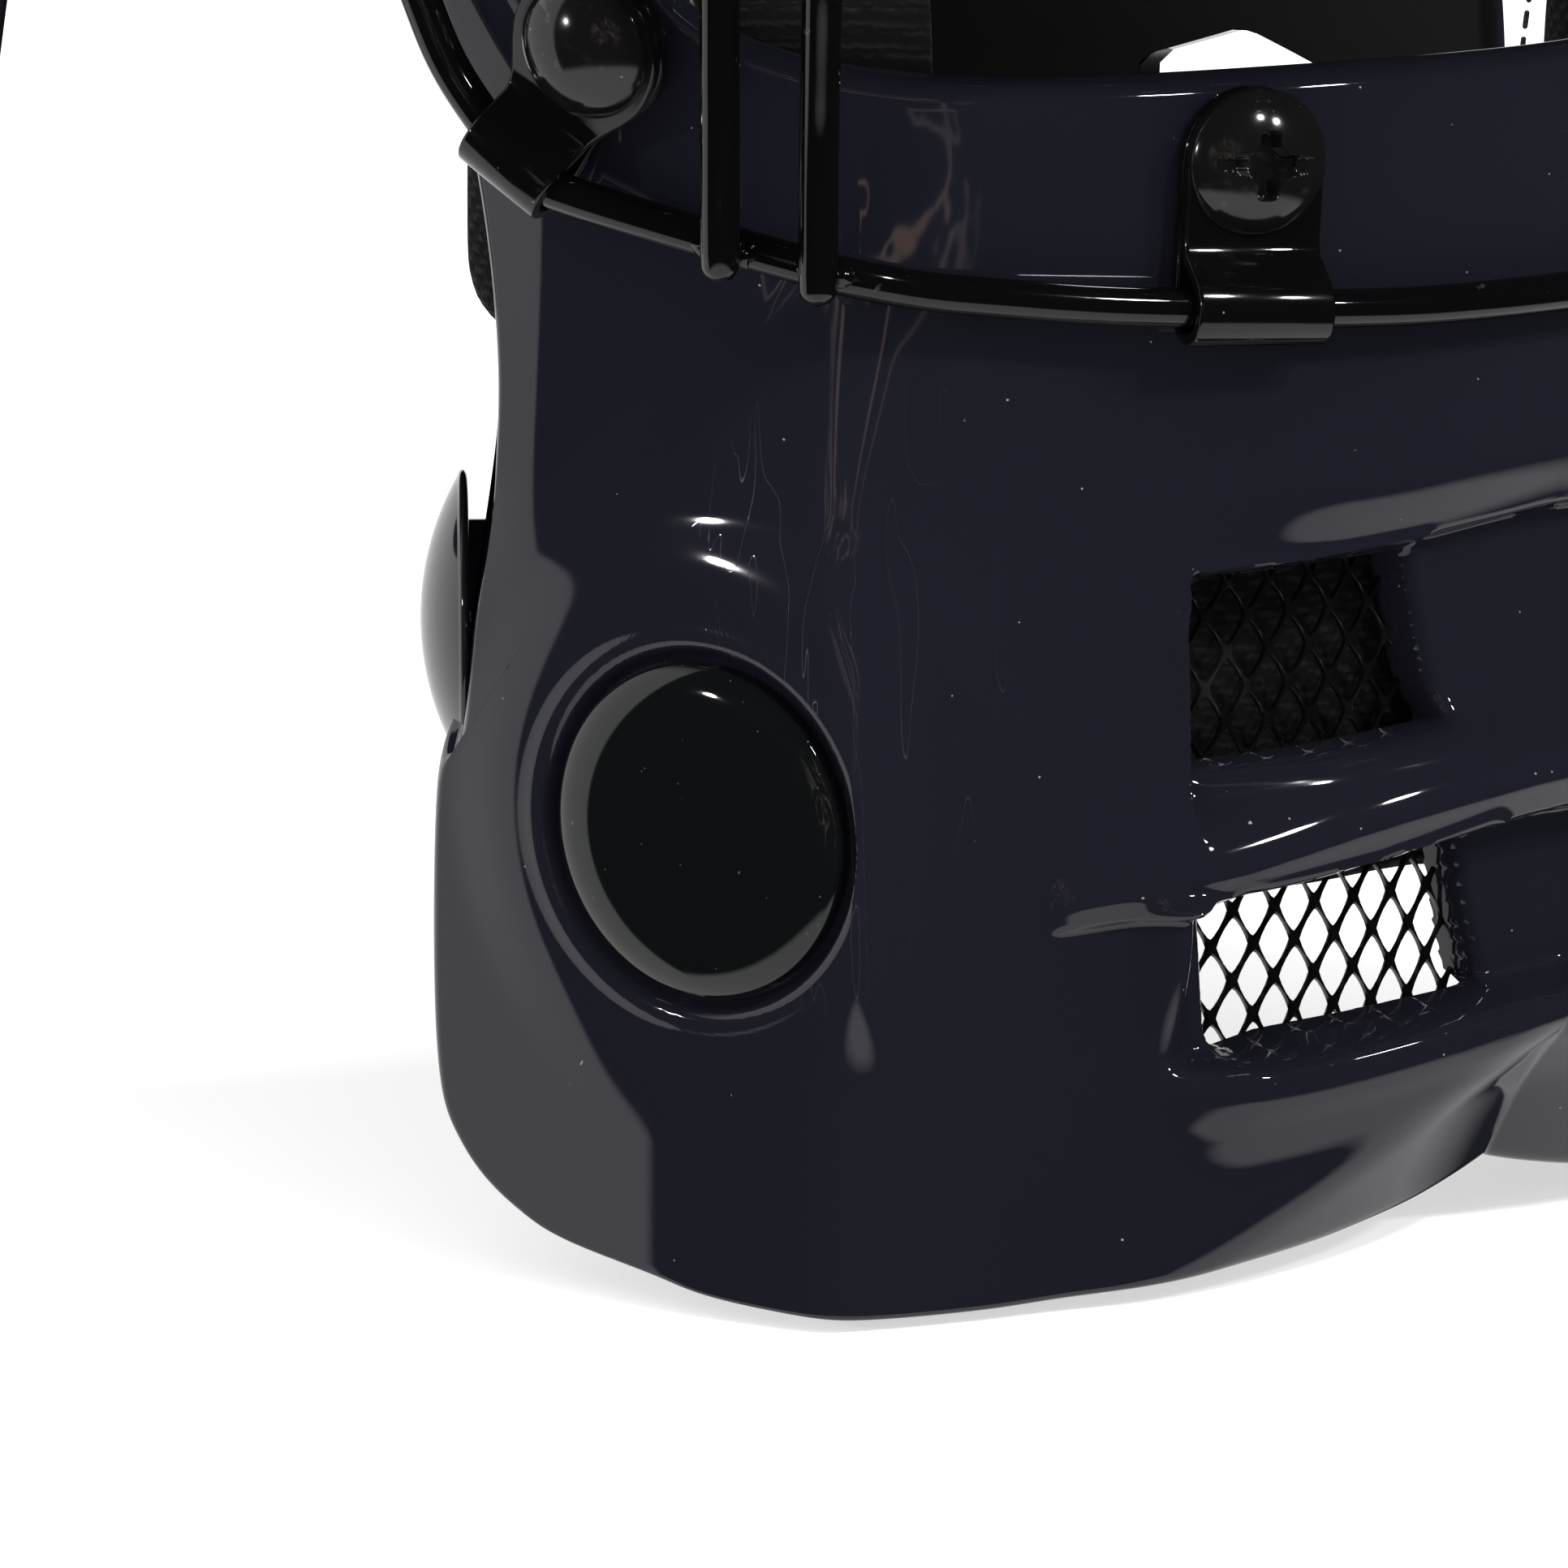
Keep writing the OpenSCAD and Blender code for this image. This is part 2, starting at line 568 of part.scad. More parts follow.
// Pads. Each is a closed cushion: flat to the wall behind it, crowned in front.
function swell(u, v) = mix(0.35, 1, pow(max(0, sin(180 * u) * sin(180 * v)), 0.45));
function wall_grid(a0, a1, z0, z1, n, m, depth) =
    [for (j = [0:m]) [for (i = [0:n])
        let (u = i / n, v = j / m)
        on_surface(mix(a0, a1, u), mix(z0, z1, v), shell_wall + pad_seat + depth * swell(u, v))]];
function wall_back(a0, a1, z0, z1, n, m) =
    [for (j = [0:m]) [for (i = [0:n])
        on_surface(mix(a0, a1, i / n), mix(z0, z1, j / m), shell_wall + pad_seat)]];
module wall_pad(a0, a1, z0, z1, n, m, depth) {
    slab(wall_back(a0, a1, z0, z1, n, m), wall_grid(a0, a1, z0, z1, n, m, depth));
}
module chin_pad() {
    color("#26262a") wall_pad(-17, 17, 71, 95, 12, 6, pad_depth * 0.7);
}
// Each cheek pad has a pocket for the nut of the side clip.
module cheek_pads() {
    color("#26262a") both_sides() difference() {
        wall_pad(31, 57.8, 84, 119, 12, 10, pad_depth);
        at_side_clip() translate([0, 0, clip_reach]) along_x(8.5, -30, 0);
    }
}
module temple_pads() {
    color("#26262a") both_sides() wall_pad(56, 79, 156, 206, 8, 10, pad_depth);
}
// The brow pad ends below the nuts of the brow clips.
brow_wire_z = read(rim_above, brow_clip_side);
brow_lean = lean_at(angle_side(brow_clip_side, brow_wire_z, 0), brow_wire_z);
brow_pad_top = brow_wire_z + (clip_reach - 6) * cos(brow_lean)
               - (shell_wall + nut_depth + 2.8) * sin(brow_lean) - 4;
module brow_pad() {
    color("#26262a") wall_pad(-48, 48, opening_top - 6, brow_pad_top, 24, 6, pad_depth * 0.8);
}
// The long facets of the crown sag below its curve, more so on a taller dome.
crown_sag = 0.9 + max(0, 0.045 * (helmet_height - 288));
function crown_way(a, b) = unit([sin(b), -sin(a), cos(a) * cos(b)]);
function crown_grid(depth) =
    [for (j = [0:10]) [for (i = [0:8])
        let (u = i / 8, v = j / 10)
        cast(crown_way(mix(36, -18, v), mix(21, -21, u)),
             shell_wall + pad_seat + crown_sag + depth * (depth > 0 ? swell(u, v) : 0))]];
module crown_pad() {
    color("#26262a") slab(crown_grid(0), crown_grid(pad_depth));
}
function plate_pad_grid(a0, a1, z0, z1, n, m, depth) =
    [for (j = [0:m]) [for (i = [0:n])
        let (u = i / n, v = j / m)
        plate_point(mix(a0, a1, u), mix(z0, z1, v),
                    plate_wall + 0.5 + depth * (depth > 0 ? swell(u, v) : 0))]];
module plate_pad(a0, a1, z0, z1, n, m, depth) {
    slab(plate_pad_grid(a0, a1, z0, z1, n, m, 0), plate_pad_grid(a0, a1, z0, z1, n, m, depth));
}
module occipital_pad() {
    color("#26262a") plate_pad(138, 222, 148, domed(228), 14, 10, pad_depth);
}
module nape_pad() {
    color("#26262a") plate_pad(150, 210, 100, 134, 12, 6, pad_depth);
}

module cage_rim() {
    color("#0e0e10") closed_wire(
        let (half = rim_half(), n = len(half))
        concat(half, [for (i = [n - 2:-1:1]) mirrored(half[i])]), wire_r);
}
module cage_uprights() {
    color("#0e0e10") both_sides() {
        open_wire(upright_path(42.2, 94.4, 224), wire_r);
        open_wire(upright_path(38, 92.4, 229), wire_r);
    }
}
module cage_crossbars() {
    color("#0e0e10") {
        open_wire(bar_path(bar_lowest), wire_r);
        open_wire(bar_path(bar_lower), wire_r);
        open_wire(bar_path(bar_upper), wire_r);
        open_wire(bar_path(bar_highest), wire_r);
    }
}

front_shell();
back_plate();
cage_rim();
cage_uprights();
cage_crossbars();
chin_clips();
side_clips();
brow_clips();
chin_clip_screws();
side_clip_screws();
brow_clip_screws();
chin_clip_nuts();
side_clip_nuts();
brow_clip_nuts();
upper_vent_meshes();
lower_vent_meshes();
jaw_badges();
jaw_caps();
chin_pad();
cheek_pads();
temple_pads();
brow_pad();
crown_pad();
occipital_pad();
nape_pad();
pivot_rivets();
pivot_washers();
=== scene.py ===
"""The looks of a goalkeeper's helmet for floorball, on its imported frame.

Lengths are millimetres until a mesh is made, +Z up, the face looks along -Y, and
the wearer's right side, which the photograph shows, is -X. A place on the helmet
is given by side (towards the wearer's right), forward (from the plan centre) and
height.
"""

import math

import bmesh
import bpy
import numpy as np
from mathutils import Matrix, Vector, noise
from mathutils.kdtree import KDTree


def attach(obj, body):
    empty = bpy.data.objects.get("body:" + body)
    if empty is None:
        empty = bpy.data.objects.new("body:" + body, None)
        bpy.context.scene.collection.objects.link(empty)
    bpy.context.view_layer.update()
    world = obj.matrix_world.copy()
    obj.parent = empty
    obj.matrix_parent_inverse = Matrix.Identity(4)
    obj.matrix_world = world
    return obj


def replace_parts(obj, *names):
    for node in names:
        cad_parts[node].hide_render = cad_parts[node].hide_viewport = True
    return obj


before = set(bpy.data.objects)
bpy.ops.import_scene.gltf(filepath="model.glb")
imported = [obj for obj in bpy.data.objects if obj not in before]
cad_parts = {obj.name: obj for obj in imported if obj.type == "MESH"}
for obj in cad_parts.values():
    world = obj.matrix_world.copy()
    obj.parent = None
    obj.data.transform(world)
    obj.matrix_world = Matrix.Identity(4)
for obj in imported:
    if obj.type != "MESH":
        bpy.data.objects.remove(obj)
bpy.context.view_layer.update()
MM = 0.001

# Driving sizes, the same as the part's own
HELMET_HEIGHT = 288
JAW_HALF_WIDTH = 81.5
CROWN_HALF_WIDTH = 104
FRONT_REACH = 112
REAR_REACH = 130
REAR_LOW = 112
DOME_START = 150
SHELL_WALL = 3.2
OPENING_HALF_WIDTH = 77
OPENING_TOP = 219
OPENING_BOTTOM = 109.5
WIRE = 3.5
CAGE_GAP = 2.1
CAGE_REACH = 133
BARS = (131, 153, 193, 209)
CLIP_SHEET = 1.2
CLIP_WIDTH = 13
SIDE_CLIP_WIDTH = 9
CLIP_REACH = 12.8
SCREW_HEAD = 13
BADGE_WIDTH = 30
CAP_WIDTH = 27
PLATE_WALL = 3
PLATE_DROP = SHELL_WALL + 2
PIVOT_HEIGHT = 175
PIVOT_BACK = 35
PAD_DEPTH = 12
WIRE_R = WIRE / 2
RIM_OUT = CAGE_GAP + WIRE_R
PLAN_CENTRE = (CAGE_REACH + WIRE_R - REAR_REACH + PLATE_DROP) / 2
CORE_HEIGHT = 165
CENTRE = np.array([0, PLAN_CENTRE, CORE_HEIGHT])


# Numbers

def mix(a, b, t):
    return a + (b - a) * t


def ease(a, b, x):
    t = np.clip((x - a) / (b - a), 0, 1)
    return t * t * (3 - 2 * t)


def unit(v):
    return v / np.linalg.norm(v, axis=-1, keepdims=True)


def curve(points, k):
    """A smooth curve through control points, at indexes k counted in whole steps."""
    points = np.asarray(points, float)
    k = np.asarray(k, float)
    last = len(points) - 1
    i = np.clip(np.floor(k).astype(int), 0, last - 1)
    t = (k - i)[..., None] if points.ndim > 1 else k - i
    a, b = points[np.maximum(0, i - 1)], points[i]
    c, d = points[i + 1], points[np.minimum(last, i + 2)]
    return 0.5 * (2 * b + (c - a) * t + (2 * a - 5 * b + 4 * c - d) * t ** 2
                  + (3 * b - a - 3 * c + d) * t ** 3)


def read(pairs, x):
    """The value at x of a smooth curve through pairs of a position and a value."""
    pairs = np.asarray(pairs, float)
    x = np.asarray(x, float)
    i = np.clip(np.searchsorted(pairs[:, 0], x, side="right") - 1, 0, len(pairs) - 2)
    t = np.clip((x - pairs[i, 0]) / (pairs[i + 1, 0] - pairs[i, 0]), 0, 1)
    return curve(pairs[:, 1], i + t)


# The shell's outer surface, cut level: a plan radius at an angle from the front

def dome(z, inset):
    t = np.clip((z - DOME_START) / (HELMET_HEIGHT - inset - DOME_START), 0, 1)
    return np.maximum(0.0001, 1 - t ** 2.6) ** (1 / 2.6)


def half_width(z, inset):
    return (mix(JAW_HALF_WIDTH, CROWN_HALF_WIDTH, ease(70, 195, z)) - inset) * dome(z, inset)


def front_at(z, inset):
    return (FRONT_REACH - inset) * dome(z, inset)


def rear_at(z, inset):
    return (mix(REAR_LOW, REAR_REACH, ease(40, 170, z)) - inset) * dome(z, inset)


def oval(angle, a, f, n):
    side, ahead = np.abs(np.sin(angle)), np.abs(np.cos(angle))
    return ((side / a) ** n + (ahead / f) ** n) ** (-1 / n)


def skull(angle, z, inset):
    a = half_width(z, inset)
    return np.where(np.cos(angle) >= 0, oval(angle, a, front_at(z, inset), 2.3),
                    oval(angle, a, rear_at(z, inset), 2.2))


def jaw(angle, z, inset):
    k = ease(60, 110, z)
    arc = front_at(z, inset) - mix(6, 9, k) * np.sin(angle) ** 2
    lean = np.maximum(0.05, np.cos(np.abs(angle) - np.radians(mix(80, 84, k))))
    flank = (half_width(z, inset) + 5.7 - 6.8 * k) / lean
    return ((arc / 100) ** -36.0 + (flank / 100) ** -36.0) ** (-1 / 36) * 100


def plan_radius(angle, z, inset):
    return mix(jaw(angle, z, inset), skull(angle, z, inset), ease(112, 150, z))


def place(side, forward, z):
    side, forward, z = np.broadcast_arrays(side, forward, z)
    return np.stack([-side, PLAN_CENTRE - forward, z], -1).astype(float)


def polar(p):
    """Angle from the front, plan radius, side and forward distance of points."""
    side, forward = -p[..., 0], PLAN_CENTRE - p[..., 1]
    return np.arctan2(side, forward), np.hypot(side, forward), side, forward


def on_surface(degrees, z, inset):
    angle = np.radians(degrees)
    r = plan_radius(angle, z, inset)
    return place(r * np.sin(angle), r * np.cos(angle), z)


def cast(way, inset):
    """Where directions from the core of the head meet the surface."""
    low = np.full(way.shape[:-1], 20.0)
    high = np.full(way.shape[:-1], 240.0)
    for _ in range(28):
        middle = (low + high) / 2
        p = CENTRE + way * middle[..., None]
        angle, r, _side, _forward = polar(p)
        inside = (r < plan_radius(angle, p[..., 2], inset)) & (p[..., 2] < HELMET_HEIGHT - inset)
        low = np.where(inside, middle, low)
        high = np.where(inside, high, middle)
    return CENTRE + way * ((low + high) / 2)[..., None]


def tuck(p):
    """The chin's underside, tucked in below a line that falls to each side."""
    _angle, _r, side, forward = polar(p)
    s = (22 - 17 * np.abs(side) / 34 - p[..., 2]) / 11
    soft = 0.22
    ramp = np.where(s < -soft, 0, np.where(s > soft, s, (s + soft) ** 2 / (4 * soft)))
    out = np.zeros_like(p)
    out[..., 1] = np.where(forward > 0, 6 * np.minimum(ramp, 1.6), 0)
    return out


OUTER_EDGE = [
    (0, -80, 240), (38, -78, 234), (68, -68, 215), (88, -52, 190), (98, -28, 166), (96, 2, 150),
    (89, 30, 134), (84, 51, 119), (82, 55, 104), (80.5, 57.5, 78), (79.2, 53.5, 60), (79.4, 52, 48),
    (79.9, 48.9, 43), (80, 48.6, 19.4), (79.5, 51.4, 10.4), (77.9, 59.7, 4.7), (74.5, 74.8, 1.4),
    (67.4, 86.2, -0.2), (51, 98.3, -0.3), (34.1, 106.1, 0.7), (20, 110.2, 1.7), (9, 111.5, 3.6),
    (0, 112, 5.6)]
OPENING_TURN = [0, 22, 42, 60, 76, 90, 101, 110, 116, 122, 126, 128.5, 130.5, 135, 138, 142, 147.5,
                153, 160, 166, 172, 176, 180]
LAST_EDGE = len(OUTER_EDGE) - 1


def opening_point(turn):
    turn = np.radians(turn)
    up = np.cos(turn) > 0
    m = np.where(up, 3, 6)
    tall = np.where(up, OPENING_TOP - CORE_HEIGHT, CORE_HEIGHT - OPENING_BOTTOM)
    q = ((np.abs(np.sin(turn)) / OPENING_HALF_WIDTH) ** m
         + (np.abs(np.cos(turn)) / tall) ** m) ** (-1 / m)
    side, z = q * np.sin(turn), CORE_HEIGHT + q * np.cos(turn)
    a = half_width(z, 0)
    forward = front_at(z, 0) * (1 - np.minimum(0.98, np.abs(side) / a) ** 2.3) ** (1 / 2.3)
    return place(side, forward, z)


def edge_way(k):
    p = curve(OUTER_EDGE, k)
    return unit(place(p[..., 0], p[..., 1], p[..., 2]) - CENTRE)


def opening_way(k):
    return unit(opening_point(curve(OPENING_TURN, k)) - CENTRE)


# Forms of the chin, by side and height, as seen from the front. The profiles are finer
# than the part's own, and the skins have no holes for the screws and rivets in them

FIN = [(0, 45.2), (10, 44.5), (23, 42.7), (36, 39.7), (49, 37.2), (60, 36.6)]
UPPER_CREASE = [(0, 68.8), (10, 68.1), (22, 66.9), (34, 66.2), (60, 65.4)]
LOWER_CREASE = [(0, 23.6), (6, 23.6), (14, 22.6), (25, 21.2), (33, 20.4), (60, 20)]
UPPER_VENT = [(38.3, 61), (37.7, 54), (37.2, 49.2), (36.2, 48.2), (26, 48.6), (12.1, 50.1),
              (12.7, 53), (13.9, 57.5), (15.8, 65.9), (31, 65.4), (35, 65.2), (37.2, 63.9), (38, 62.5)]
LOWER_VENT = [(35.2, 36.5), (34.9, 30), (34.5, 24), (33.9, 22.6), (32.4, 22), (26, 22.9), (16, 23.8),
              (6.3, 25.1), (7.3, 30), (9.5, 40), (22, 37.8), (33, 36.6)]
FIN_PROFILE = [(-9, 0), (-5.8, 0), (-5.1, 0.3), (-4.7, 1), (-4.3, 1.7), (-3, 2.25), (-1.5, 2.9),
               (-0.6, 3.3), (0.1, 3.4), (0.9, 3.1), (3, 2.1), (6, 0.9), (9, 0.2), (12, 0)]
LIP_PROFILE = [(-14, 0), (-9, 0.3), (-5, 1.4), (-2.6, 2.4), (-1, 2.7), (0.2, 2.4), (1, 1.5),
               (1.7, 0.5), (2.4, 0)]


def chin_form(side, z):
    """How far the chin's surface stands out of the plain one."""
    a = np.abs(side)
    fin, top, low = read(FIN, a), read(UPPER_CREASE, a), read(LOWER_CREASE, a)
    tip = np.sqrt(np.clip((50.5 - a) / 13, 0, 1))
    under = mix(4.4, 2.2, ease(20, 49, a))
    out = tip * read(FIN_PROFILE, np.where(z < fin, (z - fin) * 4.4 / under, z - fin))
    upper = (1 - ease(37.4, 38.9, a)) * ease(fin + 1.5, fin + 9, z) * (1 - ease(top - 0.9, top + 0.5, z))
    lower = ((1 - ease(34.8, 42.5, a)) * ease(low + 0.2, low + 2.2, z)
             * (1 - ease(fin - under - 0.5, fin - under + 0.8, z)))
    lip = (1 - ease(33, 45, a)) * read(LIP_PROFILE, z - low)
    brow = 2.2 * (1 - ease(24, 40, a)) * (1 - ease(top + 8, top + 24, z)) * ease(top - 0.8, top + 7, z)
    drop = 3.4 * np.exp(-((a - 40.4) / 2.6) ** 2) * ease(17, 35, z) * (1 - ease(36, 38.5, z))
    return out - 3.0 * upper - 3.4 * lower + lip + brow + drop


CUT_ROUND = 0.8


def polygon_gap(outline, x, z, round_off=CUT_ROUND):
    """Distance to an outline, less than 0 inside it, with its corners eased."""
    points = np.asarray(outline, float)
    best = np.full(np.shape(x), 1e9)
    wind = np.zeros(np.shape(x), bool)
    for (x0, z0), (x1, z1) in zip(points, np.roll(points, -1, 0)):
        dx, dz = x1 - x0, z1 - z0
        t = np.clip(((x - x0) * dx + (z - z0) * dz) / (dx * dx + dz * dz), 0, 1)
        best = np.minimum(best, np.hypot(x - x0 - t * dx, z - z0 - t * dz))
        crosses = ((z0 > z) != (z1 > z)) & (x < x0 + (z - z0) * dx / (dz if dz else 1e-9))
        wind ^= crosses
    return np.where(wind, -best, best) - round_off


def inset_outline(outline, by):
    """An outline moved in towards its middle, so that rounding brings it back."""
    points = np.asarray(outline, float)
    ahead = unit(np.roll(points, -1, 0) - points)
    back = unit(points - np.roll(points, 1, 0))
    turn = np.sign(np.sum(points[:, 0] * np.roll(points[:, 1], -1)
                          - points[:, 1] * np.roll(points[:, 0], -1)))
    normal = unit(np.stack([-(ahead + back)[:, 1], (ahead + back)[:, 0]], -1)) * turn
    return points + normal * by


UPPER_CUT = inset_outline(UPPER_VENT, CUT_ROUND)
LOWER_CUT = inset_outline(LOWER_VENT, CUT_ROUND)


def vent_gap(p):
    """Distance to the nearest vent, less than 0 in its hole."""
    _angle, _r, side, forward = polar(p)
    side = np.abs(side)
    near = (forward > 60) & (p[..., 2] < 80) & (side < 50)
    out = np.full(p.shape[:-1], 50.0)
    x, z = side[near], p[..., 2][near]
    out[near] = np.minimum(polygon_gap(UPPER_CUT, x, z), polygon_gap(LOWER_CUT, x, z))
    return out


# Seats of the badge and the cap. The cap is 5.6 mm lower than the part's own
BADGE_FACING = 75
BADGE_PLACE = (73.4, 78.2, 44)
CAP_FACING = 130
CAP_PLACE = (69.5, 42.1, 57.4)


def facing_way(degrees):
    a = math.radians(degrees)
    return np.array([-math.sin(a), -math.cos(a), 0])


def badge_gap(p):
    """Distance to the badge's axis on the nearer side, and depth behind its plane."""
    q = p.copy()
    q[..., 0] = -np.abs(q[..., 0])
    way = facing_way(BADGE_FACING)
    d = q - place(*BADGE_PLACE)
    depth = d @ way
    return np.linalg.norm(d - depth[..., None] * way, axis=-1), depth


# The jaw's corner, fuller low down: plan planes by facing and distance from the plan centre
FLANK_PLANE = (81.3, 85.76)
CORNER_PLANES = ((71, 95.95), (45, 115.4), (22, 111.3))


def corner(p):
    """How far the jaw's corner stands out of the plain surface, and which way."""
    angle, r, _side, _forward = polar(p)
    z = p[..., 2]
    angle = np.abs(angle)

    def reach(facing, distance):
        return distance / np.maximum(0.3, np.cos(angle - math.radians(facing)))

    turn = sum((reach(*plane) / 100) ** -110.0 for plane in CORNER_PLANES) ** (-1 / 110) * 100
    full = ((reach(*FLANK_PLANE) / 100) ** -300.0 + (turn / 100) ** -300.0) ** (-1 / 300) * 100
    top = mix(108, 79, ease(0.6, 0.78, angle))
    share = ease(math.radians(22), math.radians(30), angle) * (angle < 1.4)
    share = share * (1 - ease(0, 1, (z - 59) / (top - 59)))
    dip = ease(61, 73, z) * (1 - ease(96, 135, z)) * ease(0.5, 0.66, angle) * (1 - ease(0.8, 0.91, angle))
    lift = (full - plan_radius(angle, z, 0)) * share - 1.3 * dip
    return (lift / np.maximum(r, 1))[..., None] * ((p - CENTRE) * (1, 1, 0))


def chin_shaped(p):
    """Points with the chin's tuck and forms and the jaw's corner, and their plain places."""
    _angle, _r, side, forward = polar(p)
    z = p[..., 2]
    out = p + tuck(p) + corner(p)
    out[..., 1] -= ease(55, 75, forward) * (1 - ease(84, 96, z)) * chin_form(side, z)
    return out, side, forward, z


def formed(p, normal):
    """Outer points with the vents' rims, the badge's seat and the jaw's fold as well."""
    out, side, forward, z = chin_shaped(p)
    gap = vent_gap(p)
    lip = 0.9
    near = np.clip(1 - gap / lip, 0, 1)
    out[..., 1] += (lip * (1 - np.sqrt(np.maximum(0, 1 - near ** 2)))
                    - 0.4 * np.exp(-((gap - 1.3) / 0.8) ** 2))
    jaw_side = (forward > 40) & (z < 100) & (np.abs(side) > 20)
    r, depth = badge_gap(out)
    ring = np.where(jaw_side, r, 99)
    way = np.broadcast_to(facing_way(BADGE_FACING), p.shape).copy()
    way[..., 0] *= -np.sign(p[..., 0])
    level = (0.4 - depth) * (1 - ease(18.5, 29, ring)) * (1 - ease(3, 7, -depth))
    swell = 0.3 * np.exp(-((ring - 17.6) / 0.9) ** 2)
    sink = 1.8 * (1 - ease(15.5, 16.7, ring))
    out = out + (level + swell - sink)[..., None] * way * (ring < 40)[..., None]
    fold = 1.6 * np.exp(-((z - 69) / 7) ** 2) * ease(60, 46, forward) * (np.abs(side) > 70)
    return out - normal * fold[..., None]


# Meshes

def object_of(name, verts, faces, body, material, smooth=math.radians(35)):
    mesh = bpy.data.meshes.new(name)
    mesh.from_pydata(np.asarray(verts, float) * MM, [], [tuple(int(i) for i in f) for f in faces])
    mesh.validate()
    mesh.update()
    mesh.polygons.foreach_set("use_smooth", [True] * len(mesh.polygons))
    obj = bpy.data.objects.new(name, mesh)
    bpy.context.scene.collection.objects.link(obj)
    if smooth:
        mesh.set_sharp_from_angle(angle=smooth)
    obj.data.materials.append(material)
    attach(obj, body)
    return obj


def grid_faces(rows, cols, wrap_rows=False, wrap_cols=False, flip=False):
    r = np.arange(rows if wrap_rows else rows - 1)
    c = np.arange(cols if wrap_cols else cols - 1)
    r, c = np.meshgrid(r, c, indexing="ij")
    r1, c1 = (r + 1) % rows, (c + 1) % cols
    quads = np.stack([r * cols + c, r * cols + c1, r1 * cols + c1, r1 * cols + c], -1).reshape(-1, 4)
    return quads[:, ::-1] if flip else quads


def grid_normals(p, wrap_cols=True):
    """Unit normals of a grid of points, out of the head."""
    down = np.gradient(p, axis=0)
    if wrap_cols:
        along = (np.roll(p, -1, 1) - np.roll(p, 1, 1)) / 2
    else:
        along = np.gradient(p, axis=1)
    n = unit(np.cross(down, along))
    outward = np.sum(n * (p - CENTRE), -1, keepdims=True)
    return np.where(outward < 0, -n, n)


def clip(verts, quads, gap):
    """Cuts quads where gap is below 0. Returns points, faces and the cut's edges."""
    kept = np.all(gap[quads] > 0, 1)
    crossed = ~kept & np.any(gap[quads] > 0, 1)
    verts, faces = list(verts), [tuple(q) for q in quads[kept]]
    made, edges = {}, []

    def at_cut(i, j):
        key = (min(i, j), max(i, j))
        if key not in made:
            t = gap[i] / (gap[i] - gap[j])
            made[key] = len(verts)
            verts.append(verts[i] + (verts[j] - verts[i]) * t)
        return made[key]

    for quad in quads[crossed]:
        face, cut = [], []
        for i, j in zip(quad, np.roll(quad, -1)):
            if gap[i] > 0:
                face.append(i)
            if (gap[i] > 0) != (gap[j] > 0):
                k = at_cut(i, j)
                face.append(k)
                cut.append(k)
        if len(face) > 2:
            faces.append(tuple(face))
        if len(cut) == 2:
            edges.append(tuple(cut))
    return np.array(verts), faces, edges


def edge_inset(e, r):
    """How far a rounded edge lies below the surface at a distance e from it."""
    e = np.minimum(e, r)
    return r - np.sqrt(np.maximum(0, r * r - (r - e) ** 2))


def merged(obj, distance=0.00001):
    """Joins points that lie together and turns the faces out."""
    mesh = bmesh.new()
    mesh.from_mesh(obj.data)
    bmesh.ops.remove_doubles(mesh, verts=mesh.verts, dist=distance)
    bmesh.ops.recalc_face_normals(mesh, faces=mesh.faces)
    mesh.to_mesh(obj.data)
    mesh.free()
    obj.data.polygons.foreach_set("use_smooth", [True] * len(obj.data.polygons))
    return obj


class Parts:
    """Points and faces of one piece, added bit by bit."""

    def __init__(self):
        self.verts, self.faces, self.count = [], [], 0

    def add(self, verts, faces):
        verts = np.asarray(verts, float).reshape(-1, 3)
        self.verts.append(verts)
        self.faces.extend(tuple(int(i) + self.count for i in f) for f in faces)
        self.count += len(verts)

    def add_both(self, verts, faces):
        """Adds a form and its mirror image on the wearer's other side."""
        verts = np.asarray(verts, float).reshape(-1, 3)
        self.add(verts, faces)
        self.add(verts * (-1, 1, 1), [tuple(f)[::-1] for f in faces])

    def turn_both(self, spot, profile, steps):
        """Adds a turned form at a spot, and its mirror image."""
        verts, faces = lathe(profile, steps)
        self.add_both(spot(verts), faces)

    def make(self, name, body, slot_name, material, smooth=math.radians(35), join=True):
        obj = object_of(name, np.concatenate(self.verts), self.faces, body, material, None)
        if join:
            merged(obj)
        if smooth:
            obj.data.set_sharp_from_angle(angle=smooth)
        return obj


# Front shell

EDGE_STEPS = np.array([0, 0.05, 0.16, 0.34, 0.6, 0.95, 1.35, 1.6])


def spread(position, step):
    """Indexes along positions that are step apart, where step changes on the way."""
    travel = np.concatenate([[0], np.cumsum(np.diff(position) / ((step[1:] + step[:-1]) / 2))])
    count = int(math.ceil(travel[-1]))
    return np.interp(np.linspace(0, travel[-1], count + 1), travel, np.arange(len(position)))


def shell_columns(fine):
    k = np.linspace(0, LAST_EDGE, 3000)
    p = cast(unit(mix(opening_way(k), edge_way(k), 0.7)), 0)
    _angle, _r, side, forward = polar(p)
    travel = np.concatenate([[0], np.cumsum(np.linalg.norm(np.diff(p, axis=0), axis=1))])
    front = ease(45, 55, forward) * (p[:, 2] < 100)
    step = mix(2.2, mix(0.62, 0.42, (side < 47) | (side > 60)), front) * fine
    return np.interp(spread(travel, step), np.arange(len(k)), k)


def shell_rows(k, fine):
    t = np.linspace(0, 1, 2000)
    p = cast(unit(mix(opening_way(k), edge_way(k), t[:, None])), 0)
    travel = np.concatenate([[0], np.cumsum(np.linalg.norm(np.diff(p, axis=0), axis=1))])
    z = p[:, 2]
    step = mix(1.0, 0.45, ease(10, 17, z) * (1 - ease(70, 78, z))) * fine
    return np.interp(spread(travel, step), np.arange(len(t)), t)


